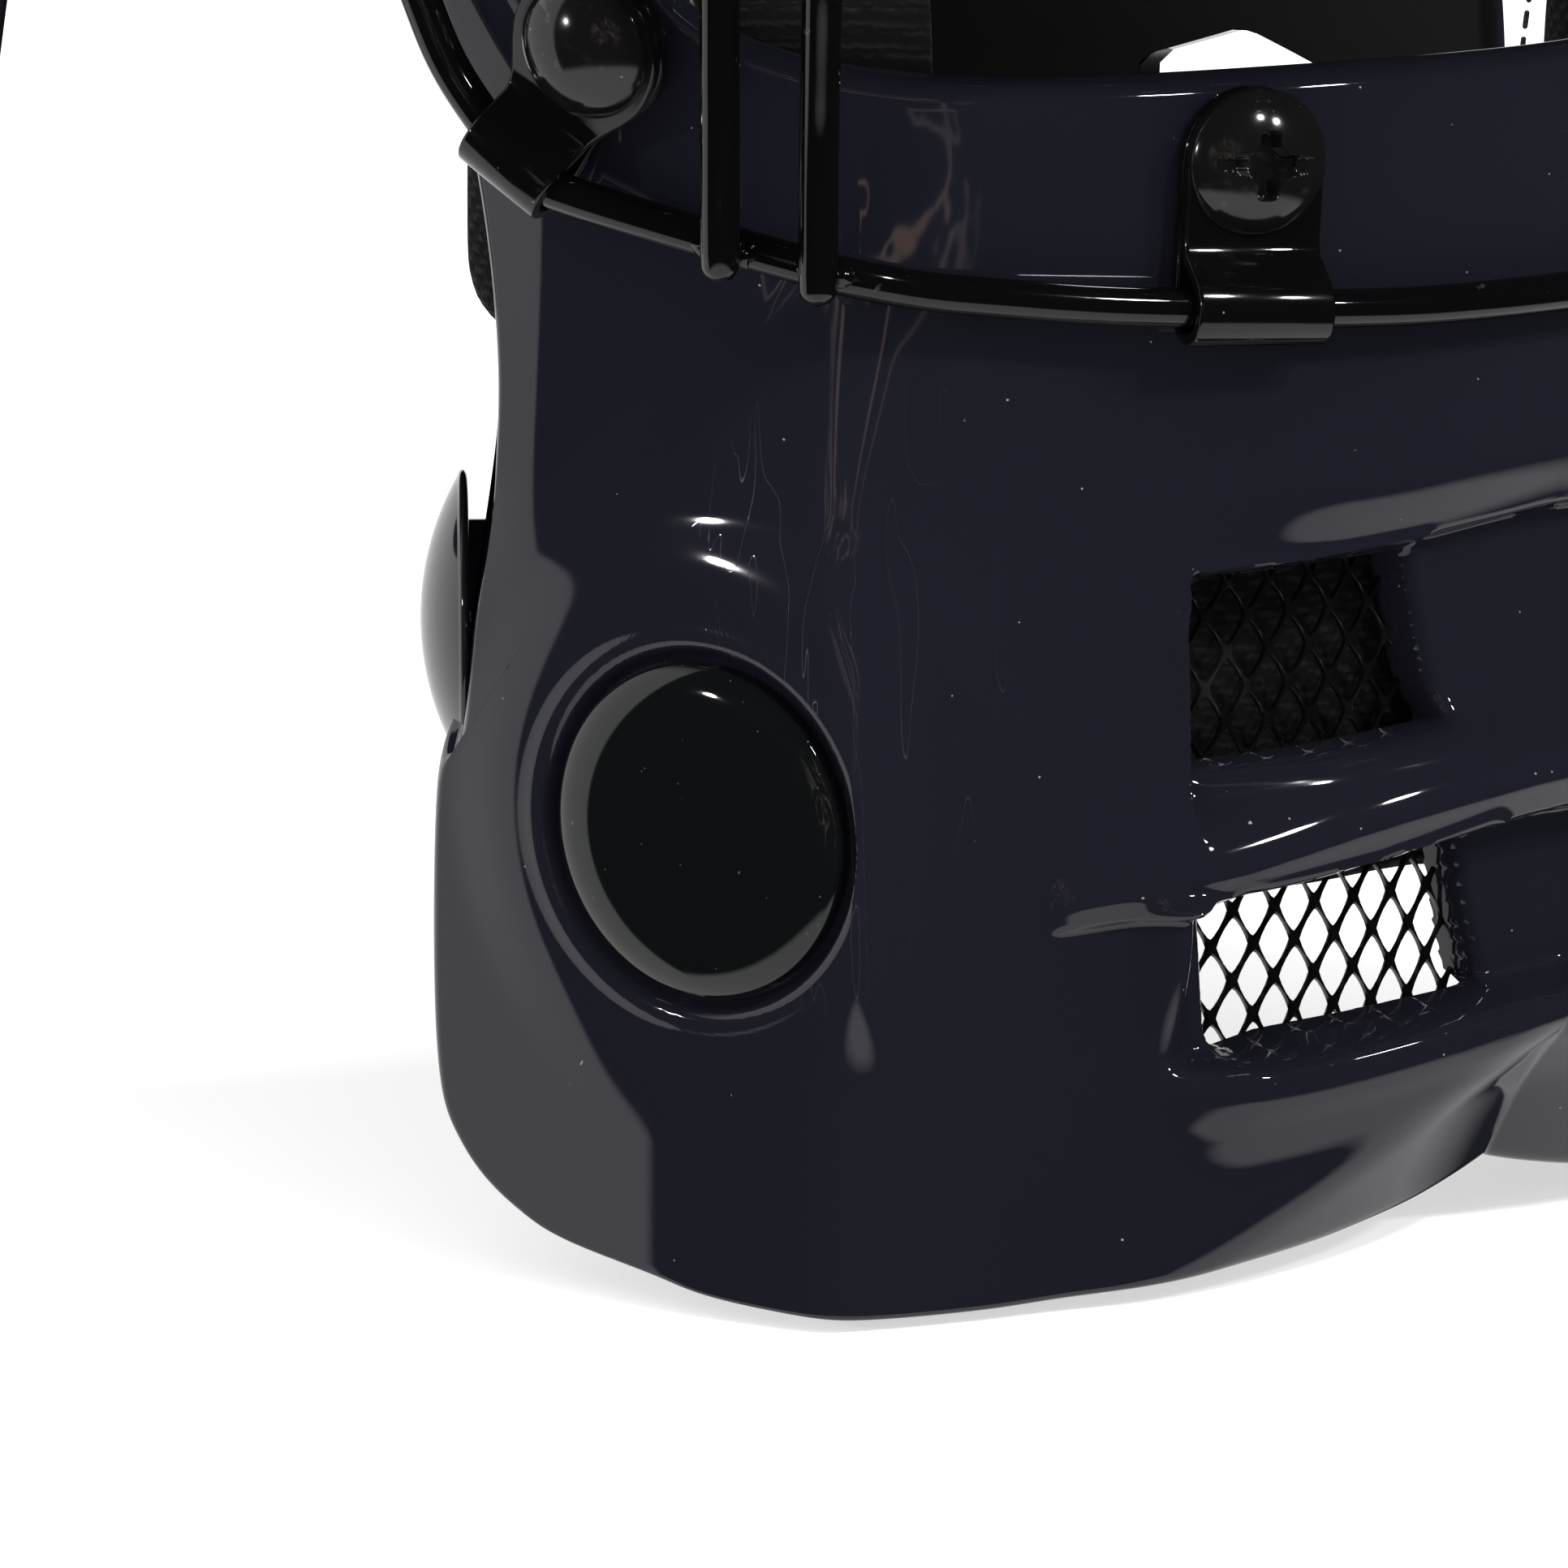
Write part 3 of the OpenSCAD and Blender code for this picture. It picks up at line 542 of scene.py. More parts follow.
def shell_grid(k, rows, inner):
    """A grid of the shell's outer or inner face, with both of its edges rounded."""
    half = SHELL_WALL / 2
    away, edge = opening_way(k), edge_way(k)
    length = np.linalg.norm(cast(edge, 0) - cast(away, 0), axis=-1)
    e = np.concatenate([EDGE_STEPS[:-1], np.full(len(rows), 9), EDGE_STEPS[:-1][::-1]])
    e = np.broadcast_to(e[:, None], (len(e), len(k)))
    start = half / length
    t = mix(start[None, :], 1 - start[None, :], rows[:, None])
    t = np.concatenate([EDGE_STEPS[:-1, None] / length, t, 1 - EDGE_STEPS[:-1][::-1, None] / length])
    inset = edge_inset(e, half)
    if inner:
        inset = SHELL_WALL - inset
    way = unit(mix(away[None], edge[None], t[..., None]))
    p = cast(way, inset)
    p = np.concatenate([p, p[:, -2:0:-1] * (-1, 1, 1)], 1)
    n = grid_normals(p)
    return formed_inner(p, n) if inner else formed(p, n)


def formed_inner(p, normal):
    """Inner points, sunk behind the badge."""
    out, _side, forward, z = chin_shaped(p)
    r, _depth = badge_gap(out)
    jaw_side = (forward > 40) & (z < 75)
    sink = 1.5 * (1 - ease(15.6, 17.4, np.where(jaw_side, r, 99)))
    return out - normal * sink[..., None]


def front_shell(material):
    fine = 1.0
    k = shell_columns(fine)
    rows = shell_rows(18.4, fine)
    parts = Parts()
    outer = shell_grid(k, rows, False)
    verts, faces, cut = clip(outer.reshape(-1, 3), grid_faces(*outer.shape[:2], wrap_cols=True),
                             vent_gap(outer).reshape(-1))
    parts.add(verts, faces)
    depth = SHELL_WALL + 0.5
    for i, j in cut:
        a, b = verts[i], verts[j]
        parts.add([a, b, b + (0, depth, 0), a + (0, depth, 0)], [(0, 1, 2, 3)])
    inner = shell_grid(k, np.append(rows[:-1:5], 1.0), True)
    verts, faces, _cut = clip(inner.reshape(-1, 3), grid_faces(*inner.shape[:2], wrap_cols=True, flip=True),
                              vent_gap(inner).reshape(-1))
    parts.add(verts, faces)
    obj = parts.make("front_shell_skin", "helmet", "shell", material, smooth=math.radians(50))
    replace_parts(obj, "front_shell")
    return obj


# Turning and placing

def turned(axis, degrees):
    """The matrix of a turn about X, Y or Z, for points written as rows."""
    a = math.radians(degrees)
    c, s = math.cos(a), math.sin(a)
    i, j = {"x": (1, 2), "y": (2, 0), "z": (0, 1)}[axis]
    m = np.eye(3)
    m[i, i], m[i, j], m[j, i], m[j, j] = c, s, -s, c
    return m


class Spot:
    """A place on the helmet: points in its own axes go to the helmet's."""

    def __init__(self, origin, *turns, shift=(0, 0, 0)):
        self.origin, self.shift, self.matrix = np.asarray(origin, float), np.asarray(shift, float), np.eye(3)
        for axis, degrees in turns:
            self.matrix = turned(axis, degrees) @ self.matrix

    def __call__(self, p):
        return (np.asarray(p, float) + self.shift) @ self.matrix + self.origin


AT_BADGE = Spot(place(*BADGE_PLACE), ("z", -90 - BADGE_FACING))
AT_CAP = Spot(place(*CAP_PLACE), ("z", -90 - CAP_FACING))


def solve(value, target, low, high, rising):
    """Where a function of degrees reaches its target."""
    low, high = np.zeros_like(target) + low, np.zeros_like(target) + high
    for _ in range(26):
        middle = (low + high) / 2
        past = (value(middle) > target) == rising
        high = np.where(past, middle, high)
        low = np.where(past, low, middle)
    return (low + high) / 2


def angle_forward(forward, z, inset):
    return solve(lambda a: plan_radius(np.radians(a), z, inset) * np.cos(np.radians(a)),
                 np.asarray(forward, float), 5, 110, False)


def angle_side(side, z, inset):
    return solve(lambda a: plan_radius(np.radians(a), z, inset) * np.sin(np.radians(a)),
                 np.asarray(side, float), 0, 60, True)


# Round things: a lathe about +X, and wires

def lathe(profile, steps=96):
    """A turned form from pairs of a radius and a place along X."""
    profile = np.asarray(profile, float)
    a = np.linspace(0, 2 * math.pi, steps, endpoint=False)
    p = np.stack([np.broadcast_to(profile[:, 1, None], (len(profile), steps)),
                  profile[:, 0, None] * np.cos(a), profile[:, 0, None] * np.sin(a)], -1)
    return p.reshape(-1, 3), list(grid_faces(len(profile), steps, wrap_cols=True))


def arc(cx, cy, r, a0, a1, steps):
    """Points of an arc as pairs, its angles in degrees."""
    a = np.radians(np.linspace(a0, a1, steps))
    return [(cx + r * math.cos(t), cy + r * math.sin(t)) for t in a]


def wire(path, r, closed=False, sides=20):
    """A round wire along a path, its open ends rounded."""
    path = np.asarray(path, float)
    if closed:
        along = unit(np.roll(path, -1, 0) - np.roll(path, 1, 0))
        radius = np.full(len(path), r)
    else:
        along = unit(np.gradient(path, axis=0))
        tip = np.radians([4, 40, 62, 80])
        ring, sunk = r * np.sin(tip), (r * (1 - np.cos(tip)))[:, None]
        first, last = path[0] + along[0] * sunk, path[-1] - along[-1] * sunk[::-1]
        inner = path[(np.linalg.norm(path - path[0], axis=1) > r)
                     & (np.linalg.norm(path - path[-1], axis=1) > r)]
        path = np.concatenate([first, inner, last])
        along = unit(np.gradient(path, axis=0))
        radius = np.concatenate([ring, np.full(len(inner), r), ring[::-1]])
    away = unit((path - CENTRE) * (1, 1, 0.02))
    a = unit(away - np.sum(away * along, -1, keepdims=True) * along)
    b = np.cross(along, a)
    t = np.linspace(0, 2 * math.pi, sides, endpoint=False)
    p = path[:, None] + radius[:, None, None] * (np.cos(t)[None, :, None] * a[:, None]
                                                 + np.sin(t)[None, :, None] * b[:, None])
    faces = list(grid_faces(len(path), sides, closed, True))
    if not closed:
        faces.append(tuple(range(sides)))
        faces.append(tuple(range(len(path) * sides - 1, (len(path) - 1) * sides - 1, -1)))
    return p.reshape(-1, 3), faces


def smooth_path(points, closed=False, per=6):
    """The same smooth curve, with more points."""
    points = np.asarray(points, float)
    if closed:
        wrapped = np.concatenate([points[-3:], points, points[:3]])
        k = np.arange(len(points) * per) / per + 3
        return curve(wrapped, k)
    return curve(points, np.linspace(0, len(points) - 1, (len(points) - 1) * per + 1))


# Cage

RIM_BELOW = [(0, 89.2), (20, 89.5), (33, 90.3), (51, 91.7), (66, 93.8), (71.5, 96.1), (76.5, 98.6)]
RIM_TEMPLE = [(98.6, 70.4), (102.4, 66.2), (104.6, 62.5), (110.1, 58.3), (117.2, 55.4), (132, 51.5),
              (150, 50), (172, 50), (192, 52.5), (205, 58), (215, 66)]
RIM_ABOVE = [(0, 233), (30, 232), (50, 229), (68, 223.5), (79, 218.5), (86, 215)]
TEMPLE_HEIGHTS = [101, 104, 107.5, 112, 118, 126, 136, 147, 158, 170, 182, 193, 203, 210]
UPRIGHTS = ((42.2, 94.4, 224), (38, 92.4, 229))


def rim_off(z):
    return (-RIM_OUT - 0.7 * ease(205, 226, z)
            - 0.6 * ease(94, 100, z) * (1 - ease(110, 122, z)))


def rim_at_side(pairs, side):
    z = read(pairs, side)
    return on_surface(angle_side(side, z, rim_off(z)), z, rim_off(z))


def rim_at_height(z):
    z = np.asarray(z, float)
    return on_surface(angle_forward(read(RIM_TEMPLE, z), z, rim_off(z)), z, rim_off(z))


def rim_path():
    half = np.concatenate([rim_at_side(RIM_BELOW, np.arange(0, 71, 7.0)), rim_at_height(TEMPLE_HEIGHTS),
                           rim_at_side(RIM_ABOVE, np.array([84, 79, 72, 63, 52, 40, 27, 13, 0.0]))])
    return smooth_path(np.concatenate([half, half[-2:0:-1] * (-1, 1, 1)]), closed=True)


def bar_end(z):
    slope = (read(RIM_TEMPLE, z + 1) - read(RIM_TEMPLE, z - 1)) / 2
    forward = read(RIM_TEMPLE, z) + (WIRE + 0.3) * np.sqrt(1 + slope * slope)
    return forward, angle_forward(forward, z, rim_off(z))


def bar_radius(degrees, z):
    z = np.asarray(z, float)
    forward, end = bar_end(z)
    side = forward * np.tan(np.radians(end))
    half = side / (1 - (forward / CAGE_REACH) ** 2.3) ** (1 / 2.3)
    return oval(np.radians(degrees), half, CAGE_REACH, 2.3)


def bar_path(z):
    end = float(bar_end(np.asarray(float(z)))[1])
    a = np.linspace(-end, end, 121)
    r = bar_radius(a, z)
    return place(r * np.sin(np.radians(a)), r * np.cos(np.radians(a)), z)


def upright_path(degrees, low, high):
    z = np.linspace(low, high, 90)
    w = ease(low + 8, BARS[0] - 3, z) * (1 - ease(BARS[-1] + 3, high, z))
    over = bar_radius(degrees, np.clip(z, BARS[0] - 6, BARS[-1] + 4)) + WIRE + 0.3
    r = mix(plan_radius(math.radians(degrees), z, rim_off(z) - WIRE), over, w)
    return place(r * math.sin(math.radians(degrees)), r * math.cos(math.radians(degrees)), z)


def bead(centre, size, seed):
    """A small lump of weld."""
    rows, cols = 9, 14
    v, u = np.meshgrid(np.linspace(0.02, math.pi - 0.02, rows),
                       np.linspace(0, 2 * math.pi, cols, endpoint=False), indexing="ij")
    p = np.stack([np.sin(v) * np.cos(u), np.sin(v) * np.sin(u), np.cos(v)], -1).reshape(-1, 3)
    lumps = np.array([1 + 0.28 * noise.noise(Vector(q * 1.6 + seed)) for q in p])
    faces = list(grid_faces(rows, cols, wrap_cols=True))
    return np.asarray(centre) + p * lumps[:, None] * size, faces


def welds(paths, others, parts, seed):
    """Beads on both sides of each place where two wires cross."""
    for path in paths:
        for other in others:
            gap = np.linalg.norm(path[:, None] - other[None], axis=-1)
            nearby = gap < WIRE + 1.6
            while nearby.any():
                i, j = np.unravel_index(np.argmin(np.where(nearby, gap, 99)), gap.shape)
                way = unit(other[min(j + 1, len(other) - 1)] - other[max(j - 1, 0)])
                for sign in (-1, 1):
                    seed += 1.7
                    spot = mix(path[i], other[j], 0.55) + way * sign * WIRE_R * 0.82
                    parts.add(*bead(spot, np.array([1.25, 1.25, 1.1]), seed))
                nearby &= np.linalg.norm(path - path[i], axis=-1)[:, None] > 9
    return seed


def cage(material):
    rim = rim_path()
    bars = [bar_path(z) for z in BARS]
    right = [upright_path(*u) for u in UPRIGHTS]
    uprights = right + [p * (-1, 1, 1) for p in right]
    for name, node, paths, closed in (("rim_wire", "cage_rim", [rim], True),
                                      ("cross_wires", "cage_crossbars", bars, False),
                                      ("upright_wires", "cage_uprights", uprights, False)):
        parts = Parts()
        for path in paths:
            parts.add(*wire(path, WIRE_R, closed))
        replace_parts(parts.make(name, "helmet", "wire", material), node)
    parts = Parts()
    seed = welds(uprights, [rim], parts, 3.0)
    seed = welds(uprights, bars, parts, seed)
    welds(bars, [rim], parts, seed)
    parts.make("wire_welds", "helmet", "wire", material)


# Clips, screws and nuts

CLIP_PLAY = 0.62
CLIP_BACK = RIM_OUT - WIRE_R - CLIP_PLAY - CLIP_SHEET
CLIP_TOP = CLIP_BACK + 2 * CLIP_SHEET
CHIN_CLIP_SIDE = 36
BROW_CLIP_SIDE = 34
SIDE_CLIP_HEIGHT = 103.4


def lean_at(degrees, z):
    a = math.radians(degrees)
    return math.degrees(math.atan((plan_radius(a, z, 0) - plan_radius(a, z + 8, 0)) / 8))


def behind_wire(p, toward, back, lean):
    level = math.hypot(toward[0] - back[0], toward[1] - back[1])
    return Spot(p, ("z", math.degrees(math.atan2(back[0] - toward[0], toward[1] - back[1]))),
                ("y", -lean), ("x", math.degrees(math.atan2(toward[2] - back[2], level))),
                shift=(-RIM_OUT, 0, 0))


def clip_spot(pairs, side, lean=0.0):
    return behind_wire(rim_at_side(pairs, side), rim_at_side(pairs, side - 2.0),
                       rim_at_side(pairs, side + 2.0), lean)


def side_clip_spot():
    z = SIDE_CLIP_HEIGHT
    degrees = float(angle_forward(read(RIM_TEMPLE, z), z, 0))
    return behind_wire(rim_at_height(z), rim_at_height(z - 2.0), rim_at_height(z + 2.0),
                       lean_at(degrees, z))


def strap(line, half_widths, thick, round_by=0.32):
    """A bent strap along a line of X and Z, as wide as stated along Y."""
    line = np.asarray(line, float)
    along = unit(np.gradient(line, axis=0))
    normal = np.stack([-along[:, 1], along[:, 0]], -1)
    r = min(round_by, thick * 0.45)
    ring = []
    for sy, sn, start in ((1, 1, 0), (-1, 1, 90), (-1, -1, 180), (1, -1, 270)):
        for t in np.radians(start + np.array([0, 30, 60, 90])):
            ring.append((sy, sn, r * math.cos(t), r * math.sin(t)))
    sy, sn, cy, cn = np.array(ring).T
    y = np.maximum(half_widths[:, None] - r, 0.05) * sy + cy
    n = (thick / 2 - r) * sn + cn
    p = np.stack([line[:, 0, None] + normal[:, 0, None] * n, y,
                  line[:, 1, None] + normal[:, 1, None] * n], -1)
    rows, cols = len(line), len(ring)
    faces = list(grid_faces(rows, cols, wrap_cols=True))
    faces.append(tuple(range(cols - 1, -1, -1)))
    faces.append(tuple(range((rows - 1) * cols, rows * cols)))
    return p.reshape(-1, 3), faces


def clip_form(barrel, tab, reach):
    """A strap folded round the wire, both of its ends at the screw."""
    loop = WIRE_R + CLIP_PLAY * 0.6 + CLIP_SHEET / 2
    outer, inner = CLIP_BACK + CLIP_SHEET * 1.52, CLIP_BACK + CLIP_SHEET * 0.5
    down = np.concatenate([reach + tab * np.cos(np.radians(np.linspace(8, 90, 14))),
                           np.linspace(reach, 6.6, 8)[1:]])
    neck = [(outer + 0.05, 5.9), (outer + 0.25, 5.1), (outer + 0.7, 4.2)]
    turn = arc(RIM_OUT, 0, loop, 52, -180, 40)
    up = np.concatenate([np.linspace(1.5, reach, 8),
                         reach + tab * np.cos(np.radians(np.linspace(90, 8, 14)))[1:]])
    line = np.array([(outer, z) for z in down] + neck + turn + [(inner, z) for z in up])
    z = line[:, 1]
    spread_out = mix(barrel, tab, ease(3.5, reach - 1, z))
    half = np.where(z > reach, np.sqrt(np.maximum(0.02, tab ** 2 - (z - reach) ** 2)), spread_out)
    half = np.where(z < 3.5, barrel, half)
    return strap(line, half, CLIP_SHEET)


def recess(y, z):
    """Depth of a screw's slot and cross below the head's top."""
    def box_gap(half_y, half_z, corner):
        dy, dz = np.abs(y) - half_y + corner, np.abs(z) - half_z + corner
        return (np.hypot(np.maximum(dy, 0), np.maximum(dz, 0)) + np.minimum(np.maximum(dy, dz), 0)
                - corner)
    slot = 1.15 * (1 - ease(-0.2, 0.2, box_gap(5.4, 0.75, 0.3)))
    cross = np.minimum(box_gap(3.1, 0.95, 0.5), box_gap(0.95, 3.1, 0.5))
    flare = np.minimum(cross, np.hypot(y, z) - 1.9)
    return np.maximum(slot, 1.9 * (1 - ease(-0.55, 0.25, flare)))


def screw_head(rise, slots, rings, steps):
    """A low round head whose edge is rounded, with its recess."""
    a = SCREW_HEAD / 2
    rho = np.concatenate([np.linspace(0.02, a * 0.93, rings), a * np.array([0.96, 0.985, 1.0])])
    t = np.linspace(0, 2 * math.pi, steps, endpoint=False)
    big = (a * a + rise * rise) / (2 * rise)
    height = np.sqrt(np.maximum(0, big * big - rho * rho)) - (big - rise)
    height = np.maximum(height, 0.0) + 0.5 * np.sqrt(np.maximum(0, 1 - (rho / a) ** 8))
    y, z = rho[:, None] * np.cos(t), rho[:, None] * np.sin(t)
    x = np.broadcast_to(height[:, None], y.shape).copy()
    if slots:
        depth = recess(y, z)
        x = np.where(depth > 0.01, np.minimum(x, mix(x, rise + 0.4 - depth, np.clip(depth / 0.3, 0, 1))), x)
    p = np.stack([x, y, z], -1)
    skirt = np.stack([np.full(steps, -0.6), a * np.cos(t), a * np.sin(t)], -1)[None]
    p = np.concatenate([p, skirt])
    faces = list(grid_faces(len(p), steps, wrap_cols=True))
    faces.append(tuple(range(steps)))
    return p.reshape(-1, 3), faces


def shank(length):
    r = 2.5
    return lathe([(0.01, -length), (r - 0.5, -length), (r, -length + 0.5), (r, 0.2), (0.01, 0.2)], 40)


def nut_form():
    """A low six-sided nut on its flange, with its bore."""
    steps, rows = 60, []
    t = np.linspace(0, 2 * math.pi, steps, endpoint=False)
    hexagon = 4 * math.cos(math.pi / 6) / np.cos((t + math.pi / 6) % (math.pi / 3) - math.pi / 6)
    for x, r in ((-4, 2.7), (-4, 3.2), (-3.8, None), (-1.4, None), (-1.2, 5.2), (-0.9, 5.8), (-0.3, 6),
                 (0, 5.9), (0, 2.7)):
        radius = np.full(steps, r) if r else hexagon * (1 if x > -3.8 else 0.99)
        rows.append(np.stack([np.full(steps, x), radius * np.cos(t), radius * np.sin(t)], -1))
    p = np.array(rows)
    return p.reshape(-1, 3), list(grid_faces(len(p), steps, True, True))


def fasteners(materials):
    spots = {"chin": clip_spot(RIM_BELOW, CHIN_CLIP_SIDE),
             "side": side_clip_spot(),
             "brow": clip_spot(RIM_ABOVE, BROW_CLIP_SIDE,
                               lean_at(float(angle_side(BROW_CLIP_SIDE, read(RIM_ABOVE, BROW_CLIP_SIDE), 0)),
                                       read(RIM_ABOVE, BROW_CLIP_SIDE)))}
    sinks = {"chin": 0.6, "side": 3.0, "brow": 2.8}
    for name, spot in spots.items():
        side = name == "side"
        barrel = (SIDE_CLIP_WIDTH if side else CLIP_WIDTH) / 2
        tab = 7.3 if side else CLIP_WIDTH / 2
        parts = Parts()
        verts, faces = clip_form(barrel, tab, CLIP_REACH)
        parts.add_both(spot(verts), faces)
        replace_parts(parts.make(name + "_straps", "helmet", "clip", materials["clip"]), name + "_clips")
        parts = Parts()
        seat = np.array([CLIP_TOP + 0.05, 0, CLIP_REACH])
        rings, steps = (64, 200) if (name == "chin") else (26, 96)
        verts, faces = screw_head(2.9 if side else 2.5, not side, rings, steps)
        parts.add_both(spot(verts + seat), faces)
        verts, faces = shank(CLIP_TOP + SHELL_WALL + 6.4)
        parts.add_both(spot(verts + seat), faces)
        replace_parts(parts.make(name + "_bolts", "helmet", "screw", materials["screw"]),
                    name + "_clip_screws")
        parts = Parts()
        verts, faces = nut_form()
        parts.add_both(spot(verts + (-SHELL_WALL - sinks[name], 0, CLIP_REACH)), faces)
        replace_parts(parts.make(name + "_nuts", "helmet", "nut", materials["nut"]), name + "_clip_nuts")


# Vent meshes

VENT_SUNK = 3.0


def sheet_at(side, z):
    """The plane of a vent's mesh, just behind the sunken chin."""
    p = on_surface(angle_side(side, z, 0), z, 0)
    p = p + tuck(p)
    p[..., 1] += VENT_SUNK + SHELL_WALL + 0.5
    return p


def mesh_sheet(side0, side1, z0, z1, pitch=4.1, tall=6.5, strand=0.86):
    """Stretched metal: tall hexagonal holes between rounded strands."""
    corners = np.array([(1, 0), (0, 1), (-1, 0), (0, -1), (1, 0)], float)
    rim = np.concatenate([mix(a, b, np.linspace(0, 1, 4, endpoint=False)[:, None])
                          for a, b in zip(corners[:-1], corners[1:])])
    power = 1.45
    grow = (np.abs(rim[:, 0]) ** power + np.abs(rim[:, 1]) ** power) ** (-1 / power)
    hole = rim * grow[:, None] * (pitch / 2 - strand * 0.62, tall / 2 - strand * 0.85)
    rim = rim * (pitch / 2, tall / 2)
    thick = 0.32
    rings = [(rim, thick), (mix(rim, hole, 0.7), thick * 0.8), (hole, 0),
             (mix(rim, hole, 0.7), -thick * 0.8), (rim, -thick)]
    parts = Parts()
    faces = list(grid_faces(5, len(rim), wrap_cols=True))
    for i in range(int((side1 - side0) / (pitch / 2)) + 1):
        for j in range(int((z1 - z0) / tall) + 1):
            x = side0 + i * pitch / 2
            z = z0 + (j + 0.5 * (i % 2)) * tall
            p = []
            for ring, out in rings:
                q = sheet_at(x + ring[:, 0], z + ring[:, 1])
                q[:, 1] -= out
                p.append(q)
            parts.add_both(np.concatenate(p), faces)
    return parts


def vent_meshes(material):
    for name, node, box in (("upper_meshes", "upper_vent_meshes", (10.1, 40.4, 48, 66)),
                            ("lower_meshes", "lower_vent_meshes", (3.1, 37.5, 21, 41))):
        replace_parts(mesh_sheet(*box).make(name, "helmet", "mesh", material), node)


# Badges and caps

def dome_profile(radius, skirt, rise, corner):
    """A disc whose edge is rounded and whose top is a shallow dome."""
    flat = radius - corner
    big = (flat * flat + rise * rise) / (2 * rise)
    slope = math.degrees(math.asin(flat / big))
    edge = arc(flat, skirt - corner * 0.4, corner, 0, 90 - slope, 8)
    top = [(r, skirt + corner * 0.6 + math.sqrt(big * big - r * r) - big + rise)
           for r in np.linspace(flat, 0.02, 40)]
    return edge + top


def badges(material):
    parts = Parts()
    r = np.concatenate([np.linspace(14.9, 9, 24), np.linspace(8.6, 0.02, 12)])
    lens = list(zip(r, 0.45 + 1.45 * (1 - (r / (BADGE_WIDTH / 2)) ** 8)))
    profile = [(0.01, -1.2), (14.6, -1.2), (15, -0.8), (15, 0.2), (14.98, 0.36)] + lens
    parts.turn_both(AT_BADGE, profile, 160)
    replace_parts(parts.make("badge_domes", "helmet", "badge", material, smooth=math.radians(50)), "jaw_badges")


def caps(material):
    parts = Parts()
    profile = ([(0.01, -2.5), (8.2, -2.5), (8.8, -2.2), (9, -1.8), (9, 0), (12.6, 0), (13.2, 0.1)]
               + dome_profile(CAP_WIDTH / 2, 0.6, 3.5, 0.5))
    parts.turn_both(AT_CAP, profile, 160)
    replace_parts(parts.make("cap_domes", "helmet", "cap", material, smooth=math.radians(50)), "jaw_caps")


# Back plate and pivots

PLATE_FOOT = [(83, 78), (92, 74), (105, 71), (122, 72), (138, 78), (150, 88), (162, 94), (180, 97)]
PLATE_HEAD = [(83, 156), (92, 162), (105, 182), (120, 212), (140, 246), (160, 262), (180, 267)]
# The opening low in the plate's side, wider than the part's own
PLATE_GAP = [(-12, 77), (-12, 83.4), (-26.5, 88.3), (-39, 84), (-39, 77)]
PLATE_GAP_ROUND = 1.2
# The plate's turn round the head in degrees, and its spans in mm
PLATE_START, PLATE_TURN, PLATE_ACROSS, PLATE_UP = 85.5, 189, 300.0, 150.0
BOSS_IN = SHELL_WALL + 1.1
BOSS_R = 9
PLATE_FACE = BOSS_IN + 0.8
PLATE_BACK = PLATE_FACE + PLATE_WALL + 2
RIVET_R = 3


def plate_point(degrees, z, inset):
    drop = PLATE_DROP + inset
    half = np.where(z > DOME_START, half_width(z, drop),
                    half_width(DOME_START, drop) + 8 * ease(DOME_START - 5, 85, z))
    angle = np.radians(degrees)
    r = oval(angle, half, rear_at(z, drop), 2.2)
    return place(r * np.sin(angle), r * np.cos(angle), z)


def pivot_half():
    """Half of the distance between the shell's outer faces at the pivots."""
    turn = solve(lambda a: plan_radius(np.radians(180 - a), PIVOT_HEIGHT, 0) * np.cos(np.radians(a)),
                 np.asarray(float(PIVOT_BACK)), 30, 89, False)
    a = math.radians(180 - float(turn))
    return float(plan_radius(a, PIVOT_HEIGHT, 0)) * math.sin(a)


PIVOT_SIDE = pivot_half()
AT_PIVOT = Spot(place(PIVOT_SIDE, -PIVOT_BACK, PIVOT_HEIGHT), ("z", 180))


def edge_places(length, step):
    """Distances along a length, close together at both of its rounded ends."""
    count = max(2, int(round((length - 3.2) / step)))
    middle = np.linspace(1.6, length - 1.6, count + 1)
    return np.concatenate([EDGE_STEPS[:-1], middle, length - EDGE_STEPS[:-1][::-1]])


def plate_grid(inner, step):
    a = PLATE_START + PLATE_TURN * edge_places(PLATE_ACROSS, step) / PLATE_ACROSS
    mirror = np.where(a > 180, 360 - a, a)
    foot, head = read(PLATE_FOOT, mirror), read(PLATE_HEAD, mirror)
    t = edge_places(PLATE_UP, step) / PLATE_UP
    z = mix(foot[None], head[None], t[:, None])
    degrees = np.broadcast_to(a, z.shape)
    length = (head - foot)[None]
    e = np.minimum(np.minimum(t[:, None], 1 - t[:, None]) * length,
                   np.minimum(a - a[0], a[-1] - a)[None] / PLATE_TURN * PLATE_ACROSS)
    inset = edge_inset(e, PLATE_WALL / 2)
    p = plate_point(degrees, z, PLATE_WALL - inset if inner else inset)
    r = np.hypot(p[..., 1] - (PLAN_CENTRE + PIVOT_BACK), p[..., 2] - PIVOT_HEIGHT)
    face = PIVOT_SIDE - (PLATE_BACK - 0.1 if inner else PLATE_FACE + 0.1)
    w = 1 - ease(BOSS_R + 1.5, BOSS_R + 5, r)
    level = np.minimum(np.abs(p[..., 0]), face)
    p[..., 0] = np.sign(p[..., 0]) * mix(np.abs(p[..., 0]), level, w)
    return p


def gap_in_plate(p):
    return polygon_gap(inset_outline(PLATE_GAP, PLATE_GAP_ROUND), PLAN_CENTRE - p[..., 1], p[..., 2],
                       PLATE_GAP_ROUND)


